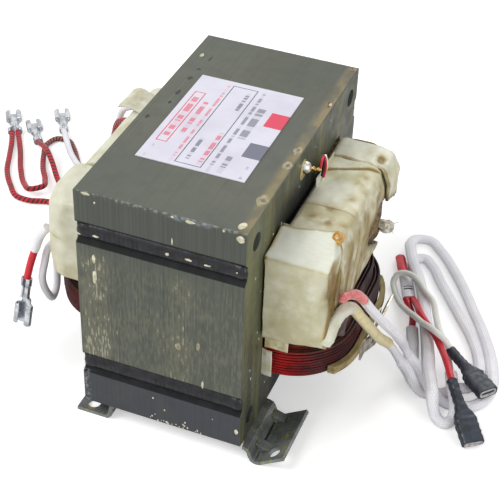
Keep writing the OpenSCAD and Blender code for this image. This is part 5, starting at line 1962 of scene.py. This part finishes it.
@dataclass
class Bundle:
    """Part of a winding wrapped in tape. An outline with soft corners is carried along an axis,
    and each free end rounds over and closes at a pole. Relief moves the surface along its normal."""

    name: str
    node: str
    axis: int
    span: tuple
    corners: list
    blur: float = 1.0
    rounding: tuple = (1.2, 1.2)
    capped: tuple = (True, True)
    wall: float = 0.0
    count: int = 300
    step: float = 0.5
    seed: int = 1

    def stations(self) -> Array:
        """Place along the axis, inset and share of the full size, for each ring.

        Returns:
            One row for each ring.
        """
        turn = np.linspace(0, np.pi / 2, 7)
        low, high = self.span
        ends = []
        for side, edge, soft, cap in ((1, low, self.rounding[0], self.capped[0]),
                                      (-1, high, self.rounding[1], self.capped[1])):
            part = []
            if cap:
                part += [(edge, soft, share) for share in np.linspace(0.02, 0.97, 22)]
                part += [(edge + side * soft * (1 - math.cos(t)), soft * (1 - math.sin(t)), 1.0)
                         for t in turn]
            else:
                part += [(edge, 0.0, 1.0), (edge + side * 0.1, 0.0, 1.0)]
            ends.append(part)
        rows = ends[0]
        between = np.arange(rows[-1][0] + self.step, ends[1][-1][0] - self.step / 2, self.step)
        return np.array(rows + [(p, 0.0, 1.0) for p in between] + ends[1][::-1])

    def grid(self) -> Array:
        """Rings of points, before the relief.

        Returns:
            The rings.
        """
        ring = outline(self.corners, self.count, self.blur)
        middle = ring.mean(0)
        along = np.roll(ring, -1, 0) - np.roll(ring, 1, 0)
        out = unit(np.stack([along[:, 1], -along[:, 0]], 1))
        out *= np.sign(((ring - middle) * out).sum())
        place, inset, share = self.stations().T
        flat = ring[None] - inset[:, None, None] * out[None]
        flat = middle + (flat - middle) * share[:, None, None]
        grid = np.empty((len(place), self.count, 3))
        grid[..., self.axis] = place[:, None]
        first, second = [a for a in range(3) if a != self.axis]
        grid[..., first], grid[..., second] = flat[..., 0], flat[..., 1]
        return grid

    def bend(self, grid: Array) -> Array:
        """Large changes of the form.

        Args:
            grid: Rings of points.

        Returns:
            The changed rings.
        """
        return grid

    def relief(self, at: Array) -> Array:
        """Height of the surface above the outline.

        Args:
            at: Points of the surface in millimetres.

        Returns:
            One height for each point.
        """
        return 0.3 * layers(at, 9, self.seed) - 0.15

    def marks(self, at: Array) -> dict:
        """Amounts of stain, paleness and burn.

        Args:
            at: Points of the surface in millimetres.

        Returns:
            Amounts for each point, by attribute name.
        """
        return {"stain": 0.3 + 0.3 * layers(at, 12, self.seed + 30), "pale": 0 * at[..., 0],
                "burn": 0 * at[..., 0]}

    def open_cells(self, grid: Array) -> Array | None:
        """Cells that are torn away.

        Args:
            grid: Rings of points.

        Returns:
            True for each cell that is open, or nothing.
        """
        return None

    def build(self, frame: Frame, palette: Palette) -> Piece:
        """Makes the piece.

        Args:
            frame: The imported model.
            palette: The finishes.

        Returns:
            The piece.
        """
        grid = self.bend(self.grid())
        normal = surface_normals(grid)
        normal *= np.sign(((grid - grid.mean((0, 1))) * normal).sum())
        marks = {key: [np.clip(v, 0, 1.5)] for key, v in self.marks(grid).items()}
        grid = grid + self.relief(grid)[..., None] * normal
        shell = Shell(grid, ends=all(self.capped), torn=self.open_cells(grid))
        piece = frame.solid(self.name, palette.tape, Slot.TAPE, [shell], (self.node,), marks)
        if self.wall:
            thicken(piece, "tape", self.wall, -1)
        return piece


class TornBundle(Bundle):
    """Bundle with the torn hole in its side."""

    def open_cells(self, grid: Array) -> Array:
        """Cells whose middle lies in the tear. Noise frays its edge."""
        middle = (grid[:-1] + grid[1:]) / 2
        middle = (middle + np.roll(middle, -1, 1)) / 2
        fray = np.stack([noise(middle, 1.1, 61), noise(middle, 1.1, 62)], -1) * 0.45
        return inside(middle[..., 1:] + fray, TEAR) & (middle[..., 0] > 51)

    def rim(self, at: Array) -> Array:
        """Closeness to the edge of the tear."""
        edge = [near_line(at[..., 1:], a, b, 1.5) for a, b in zip(TEAR, TEAR[1:] + TEAR[:1])]
        return np.max(edge, 0) * ease(50, 53, at[..., 0])


class RightBody(TornBundle):
    """Middle of the right side."""

    def relief(self, at: Array) -> Array:
        """Tape edges are steps, and creases run down the side to one point."""
        x, y, z = at[..., 0], at[..., 1], at[..., 2]
        top = ease(84, 87, z)
        base = 0.32 * layers(at * [1, 0.8, 0.6], 8, self.seed) - 0.2
        flap_edge = 14.6 + (x - 32.9) * 0.434
        steps = 0.35 * ease(-0.25, 0.25, -7.8 - y + 0.05 * (x - 45)) + 0.8 * ease(-0.3, 0.3, y - flap_edge)
        side = ease(54, 56.5, x)
        creases = [((57, -16, 84), (57, -24, 53)), ((57, -7, 86), (57, -21, 53)),
                   ((57, 3, 84), (57, -15, 55)), ((57, 12, 80), (57, -8, 58))]
        folds = sum(near_line(at, a, b, 0.9) for a, b in creases)
        end = ease(-28, -26.5, y) * ease(25.6, 24.2, y)
        return base + (steps * top + 0.5 * folds * side) * end - 0.5 * (1 - end)

    def marks(self, at: Array) -> dict:
        """Brown streaks down the side, blots on the top and brown tape edges. The brown line under
        the flap's step is also painted shadow of the step.
        """
        x, y, z = at[..., 0], at[..., 1], at[..., 2]
        side = ease(52, 57, x)
        top = ease(84, 87, z)
        stain = 0.16 + 0.62 * side + 0.25 * layers(at, 9, 51)
        streaks = [((57, -14, 86), (57, -24, 54)), ((57, -4, 86), (57, -19, 54)),
                   ((57, 6, 84), (57, -12, 56)), ((57, 16, 80), (57, 2, 66)), ((57, 22, 84), (57, 14, 74))]
        stain += 0.45 * side * sum(near_line(at, a, b, 2.2) for a, b in streaks)
        blots = [(50.3, 11.8), (53.8, 8.3), (50.2, 1.2), (40.4, -15.5), (53.1, -15.8), (44.7, -8.9),
                 (50.9, 16.3), (47, -17), (52, -22)]
        stain += 0.75 * top * sum(spot(at, (bx, by, 87.8), (2.4, 2.6, 4)) for bx, by in blots)
        edge = peak(y - 0.05 * (x - 45), -7.8, 0.5) * 0.7
        # Brown line just under the flap's raised step: tape edge and painted shadow of the step.
        edge += peak(y - (x - 32.9) * 0.434, 14.3, 0.6) * 1.3
        edge += peak(y, -27.6, 1.0) * 0.9
        stain += edge * top
        pale = 0.55 * top * ease(-7, -5, y) * ease(13, 8, y) * ease(50, 46, x)
        return {"stain": stain, "pale": pale, "burn": 0.6 * self.rim(at)}


class RightRear(TornBundle):
    """Raised rear end of the right side."""

    def relief(self, at: Array) -> Array:
        """Soft swelling, with a curled corner at the front right of its top."""
        base = 0.35 * layers(at, 10, self.seed) - 0.2
        curl = near_line(at, (56.5, 34, 88), (54.5, 26, 88), 1.4)
        return base + 1.3 * curl - 1.0 * spot(at, (53, 31, 88), (1.8, 2.2, 3))

    def marks(self, at: Array) -> dict:
        """Pale top, amber patch and bluish corner."""
        top = ease(84, 87.5, at[..., 2])
        stain = 0.22 + 0.25 * (1 - top) + 0.25 * layers(at, 8, 52)
        stain += 1.15 * spot(at, (52.8, 31, 88), (2.2, 3, 3)) + 0.5 * self.rim(at)
        stain += 0.8 * peak(at[..., 1], 25.6, 0.7)
        pale = 0.55 * top + 1.2 * near_line(at, (56.8, 34, 87.6), (55, 26, 87.6), 1.6)
        return {"stain": stain, "pale": np.clip(pale, 0, 1), "burn": 0.55 * self.rim(at)}


class RightFront(Bundle):
    """Folded front end of the right side."""

    def bend(self, grid: Array) -> Array:
        """Presses the right edge in between two heights, and lifts the ridge towards its right end."""
        x, y, z = grid[..., 0], grid[..., 1], grid[..., 2]
        push = 5.4 * peak(z, 70, 10) * ease(50.5, 57.5, x) ** 2 * ease(-34, -44, y)
        lift = ease(34, 55, x) * ease(-43.5, -28.5, y) * ease(82, 88, z)
        draw = 2.2 * ease(50, 57, x) * ease(-42, -30, y) * ease(84, 90, z)
        grid[..., 2] += 2.8 * lift + 2.9 * ease(40, 57, x) * ease(60, 50, z)
        grid[..., 0] += 1.1 * ease(50, 57, x) * ease(66, 52, z) - draw
        grid[..., 1] += push
        return grid

    def relief(self, at: Array) -> Array:
        """Flat panels with soft dents."""
        x, z = at[..., 0], at[..., 2]
        pleat = -0.7 * near_line(at, (57, -38, 82), (56, -37, 64), 1.3)
        rim = 0.3 * peak(z, 87, 0.8) * ease(58, 50, x)
        return 0.34 * layers(at, 11, self.seed) - 0.2 + pleat + rim

    def marks(self, at: Array) -> dict:
        """Whitish slope, yellower front, and brown along every edge."""
        x, y, z = at[..., 0], at[..., 1], at[..., 2]
        slope = ease(86.6, 87.6, z)
        stain = 0.12 + 0.16 * ease(86, 60, z) + 0.18 * layers(at, 10, 53) + 0.35 * ease(56, 57, x)
        fold = peak(z, 87, 0.45) * ease(-43, -44.5, y)
        ridge = ease(-29.6, -28.2, y) * slope
        right = ease(55.8, 57, x)
        stain += 0.55 * fold + 0.9 * ridge + 0.5 * right + 0.7 * ease(35, 33.4, x) * ease(82, 86, z)
        stain += 1.2 * spot(at, (56.5, -40, 77), (2.4, 4, 6)) + 0.6 * ease(51.2, 49.8, z)
        stain += 1.2 * spot(at, (56, -29, 90), (3, 3, 3))
        pale = 0.95 * slope * (1 - 0.8 * ridge)
        return {"stain": stain, "pale": pale, "burn": 0.5 * spot(at, (57, -40, 72), (1.5, 2.5, 7))}


class LeftFront(Bundle):
    """Rounded front end of the left side. The outline lies in plan, and its side follows the
    winding's profile."""

    def bend(self, grid: Array) -> Array:
        """Draws the side in towards the top and a little at the bottom."""
        z = grid[..., 2]
        side = np.interp(z, [52, 60, 81, 86, 87.8], [56.6, 57.3, 57, 54.5, 51.5])
        share = ease(36, 57, -grid[..., 0])
        grid[..., 0] += (57.6 - side) * share
        return grid

    def marks(self, at: Array) -> dict:
        """Pale above, browner below."""
        z = at[..., 2]
        stain = 0.1 + 0.35 * ease(72, 54, z) + 0.22 * layers(at, 9, 54)
        stain += 0.5 * peak(z, 70, 0.5) * ease(-46, -50, at[..., 0])
        return {"stain": stain, "pale": 0.5 * ease(60, 84, z), "burn": 0 * z}


class LeftRear(Bundle):
    """Long rear end of the left side."""

    def marks(self, at: Array) -> dict:
        """Pale above, browner below, brown along the lap with the front end."""
        y, z = at[..., 1], at[..., 2]
        stain = 0.14 + 0.4 * ease(76, 54, z) + 0.25 * layers(at, 11, 55)
        stain += 0.6 * peak(y, -17.6, 0.9)
        return {"stain": stain, "pale": 0.45 * ease(64, 86, z), "burn": 0 * z}


@dataclass
class Tape(Part):
    """All tape wraps with the loose flap, the resin blob and the bunched end."""

    def build(self) -> None:
        """Builds the wraps from their outlines."""
        wraps = [
            RightBody("right_body_tape", "wrap_right_body", 1, (-28.6, 30.6),
                      [(34, 52), (34, 86.2), (35.6, 87.8), (50, 87.8), (54.5, 86), (57, 78), (57.3, 56),
                       (56.5, 52)], 0.9, capped=(True, False), rounding=(0.4, 0.4), wall=1.1, seed=5),
            RightRear("right_rear_tape", "wrap_right_rear", 1, (25.2, 41.4),
                      [(33, 52), (33, 86.8), (35, 88.2), (50, 88.2), (56, 86.2), (58.5, 80),
                       (58.5, 52)], 0.9, capped=(False, True), rounding=(0.6, 3.0), wall=1.1, seed=8,
                       step=0.35),
            RightFront("right_front_tape", "wrap_right_front", 0, (33, 57),
                       [(-45, 86.2), (-43.8, 87.6), (-28, 91), (-28, 49.6), (-44.4, 49.6)], 0.45,
                       rounding=(0.6, 0.8), seed=11, step=0.35),
            LeftFront("left_front_tape", "wrap_left_front", 2, (52, 87.8),
                      [(-34, -44.2), (-48, -44.6), (-52.5, -43), (-55.6, -39.5), (-57.8, -34),
                       (-57.8, -17.6), (-34, -17.6)], 1.2, rounding=(0.8, 2.0), seed=14),
            LeftRear("left_rear_tape", "wrap_left_rear", 1, (-17.9, 45),
                     [(-34, 52), (-34, 87.8), (-47, 87.8), (-50.5, 86.6), (-55, 80), (-56.6, 70),
                      (-56.6, 60), (-56, 52)], 1.1, rounding=(0.4, 2.2), seed=17),
        ]
        for wrap in wraps:
            wrap.build(self.frame, self.palette)
        self.flap()
        self.blob()
        self.knot()
        self.cuffs()

    def flap(self) -> None:
        """Loose end of tape at the rear left, curled up along its edge."""
        line = drawn([(-55.4, 88.6), (-54, 89.7), (-51.5, 89.9), (-48.5, 89.0), (-45.5, 88.2),
                      (-42, 88.1)], 0.3, 0.7)
        y = np.linspace(21.5, 36, 60)
        grid = np.empty((len(line), len(y), 3))
        grid[..., 0], grid[..., 1], grid[..., 2] = line[:, :1], y[None], line[:, 1:]
        lift = ease(-42, -54, grid[..., 0])
        grid[..., 2] += lift * 0.5 * layers(grid, 6, 71)
        out = np.sign(y - 28.75) * (np.abs(y - 28.75) > 6.8)
        grid[..., 1] += 0.5 * noise(grid * [1, 0, 1], 3, 72) * out[None]
        stain = np.clip(0.3 + 0.4 * layers(grid, 5, 73), 0, 1.5)
        marks = {"stain": [stain], "pale": [0.5 + 0 * stain], "burn": [0 * stain]}
        piece = leaf(self.frame, "tape_flap_sheet", [grid], 0.45, self.palette.tape, Slot.TAPE,
                     ("tape_flap",), marks)

    def blob(self) -> None:
        """Bead of resin at the end of the ridge, with a run under it."""
        turn, rise = np.meshgrid(spokes(40), np.linspace(-np.pi / 2 + 0.02, np.pi / 2 - 0.02, 24))
        ball = np.stack([np.cos(rise) * np.cos(turn), np.cos(rise) * np.sin(turn), np.sin(rise)], -1)
        grids = []
        for i, (at, radii) in enumerate((((55.0, -29.8, 92.6), (2.3, 2.4, 2.0)),
                                         ((55.6, -30.6, 91.2), (1.2, 1.4, 1.4)))):
            lump = 1 + 0.16 * layers(ball * 2 + i, 1.2, 81)[..., None]
            grids.append(np.array(at) + ball * np.array(radii) * lump)
        self.frame.solid("resin_bead", self.palette.resin, Slot.RESIN, [Shell(g) for g in grids],
                         ("resin_blob",))

    def cuffs(self) -> None:
        """Crumpled tape round the place where a high voltage lead leaves the winding."""
        route = [(56.6, -42.4, 53.4), (57.6, -39.4, 58), (58.7, -35, 60.9), (60, -30, 61.2),
                 (61.1, -25.4, 58.9)]
        path = smooth_route(route, 0.3)
        along = run_length(path) / run_length(path)[-1]
        angle = spokes(40)
        around = circle(angle)[None] * 2.6 + path[:, None]
        swell = 1 + 0.07 * layers(around, 2.2, 95) * ease(1, 0.8, along)[:, None]
        size = np.interp(along, [0, 0.1, 0.6, 1], [5.2, 6.4, 5.2, 4.7])
        grid = sweep(path, np.stack([size, size * 0.92], 1), 40, (1, 0.3, 0), swell)
        stain = np.clip(0.2 + 0.35 * layers(grid, 4, 97), 0, 1.2)
        marks = {"stain": [stain], "pale": [0.7 + 0 * stain], "burn": [0 * stain]}
        self.frame.solid("lead_cuffs", self.palette.tape, Slot.TAPE, [Shell(grid)], (), marks)

    def knot(self) -> None:
        """Bunched end of tape: a lumpy tube, with stiff strands that stick out of it."""
        route = [(55.6, 41.6, 49.4), (55.9, 39.0, 50.8), (55.6, 36.0, 52.2), (55.2, 33.2, 54.6),
                 (55.0, 31.0, 56.8)]
        path = smooth_route(route, 0.3)
        along = run_length(path) / run_length(path)[-1]
        angle = spokes(36)
        around = circle(angle)[None] * 1.6 + path[:, None]
        swell = 1 + 0.34 * layers(around, 2.0, 91)
        swell *= (0.45 + 0.62 * np.sin(np.pi * np.clip(along, 0.02, 0.98)) ** 0.5)[:, None]
        grids = [sweep(path, (6.0, 5.0), 36, (0, 0, 1), swell)]
        draw = np.random.default_rng(92)
        for _ in range(16):
            start = path[draw.integers(4, len(path) - 4)]
            way = np.array([draw.uniform(0.3, 1), draw.uniform(-0.6, 0.6), draw.uniform(-0.8, 0.7)])
            curl = draw.uniform(-1, 1, 3)
            t = np.linspace(0, 1, 12)[:, None]
            strand = start + way * 3.3 * t + curl * t**2 * 1.6
            grids.append(sweep(strand, np.linspace(0.7, 0.15, 12)[:, None] * [1, 1], 8, (0, 0.2, 1)))
        self.frame.solid("bunched_tape_end", self.palette.knot, Slot.TAPE, [Shell(g) for g in grids],
                         ("tape_knot",))


# Hardware


@dataclass
class Hardware(Part):
    """Straps, terminal board, tabs and ground point."""

    dome: tuple = (HALF_STACK, -3.1, 99.3)

    def build(self) -> None:
        """Dresses the metal parts."""
        for name in ("front_strap", "rear_strap"):
            self.frame.eased(name, self.palette.strap, Slot.STRAP, 0.4, 3)
        self.frame.eased("terminal_board", self.palette.board, Slot.BOARD, 0.25)
        self.frame.eased("tab_front", self.palette.tab, Slot.TINNED, 0.2)
        self.frame.eased("tab_rear", self.palette.tab, Slot.TINNED, 0.2)
        self.ground()

    def ground(self) -> None:
        """Welded dome with its rim, the varnish around it and the wire that leaves it."""
        x, y, z = self.dome
        lean = np.linspace(0.01, np.pi / 2, 22)
        profile = np.stack([2.5 * np.sin(lean), 2.6 * np.cos(lean)], 1)
        angle = spokes(48)
        grid = np.stack([np.broadcast_to(x + profile[:, 1:], (len(profile), 48)),
                         y + profile[:, :1] * np.cos(angle), z + profile[:, :1] * np.sin(angle)], -1)
        self.frame.solid("ground_button", self.palette.button, Slot.TINNED, [Shell(grid)],
                         ("ground_dome",))
        ring = Drop(Face.RIGHT, (y - 1.0, z - 0.4), (3.9, 4.6), 0.16).grid(12)
        self.frame.solid("ground_varnish", self.palette.drop, Slot.PLATES, [Shell(ring)])
        route = [(2.0, 0.2, 0), (4.0, 0.6, -0.1), (5.8, 1.6, -0.3)]
        path = smooth_route(np.array(route) + self.dome, 0.2)
        twist = spokes(12)
        swell = 1 + 0.3 * np.cos(2 * twist[None] + run_length(path)[:, None] * 3.2)
        self.frame.solid("ground_lead", self.palette.wire, Slot.TINNED,
                    [Shell(sweep(path, (1.5, 1.5), 12, (0, 0, 1), swell))], ("ground_wire",))
        arcs = [([(5.5, 2.0, 0.2), (5.6, 2.8, 3.0), (5.6, 4.2, 3.8), (5.7, 6.0, 1.8), (5.8, 7.4, -1.6),
                  (5.8, 7.4, -4.6), (5.6, 6.2, -7.0)], self.palette.red, Slot.RED, 0.9),
                ([(5.0, 3.6, 3.9), (5.0, 5.4, 2.6), (5.0, 7.4, -0.8), (5.0, 7.8, -4.0), (5.0, 6.8, -7.0)],
                 self.palette.shrink, Slot.SHRINK, 1.5),
                ([(5.4, 7.2, 2.2), (5.4, 9.0, -0.8), (5.4, 9.9, -3.8), (5.2, 8.8, -6.6), (5.0, 7.2, -8.6)],
                 self.palette.white, Slot.WHITE, 1.0)]
        for i, (stops, finish, slot, size) in enumerate(arcs):
            path = smooth_route(np.array(stops) + self.dome, 0.4)
            self.frame.solid(f"ground_loop_{i + 1}", finish, slot,
                        [Shell(sweep(path, (size, size), 12, (1, 0, 0)))])


def main() -> None:
    """Builds the classes in order and reports each piece."""
    logging.basicConfig(level=logging.INFO, format="%(message)s")
    frame = Frame(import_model())
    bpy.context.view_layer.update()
    studio = Studio()
    studio.camera(frame)
    palette = Palette(frame.core_x)
    for part in (Core, Windings, Papers, Tape, Hardware, LeadSet):
        part(frame, palette).build()
    studio.light()
    studio.floor()


if __name__ == "__main__":
    main()
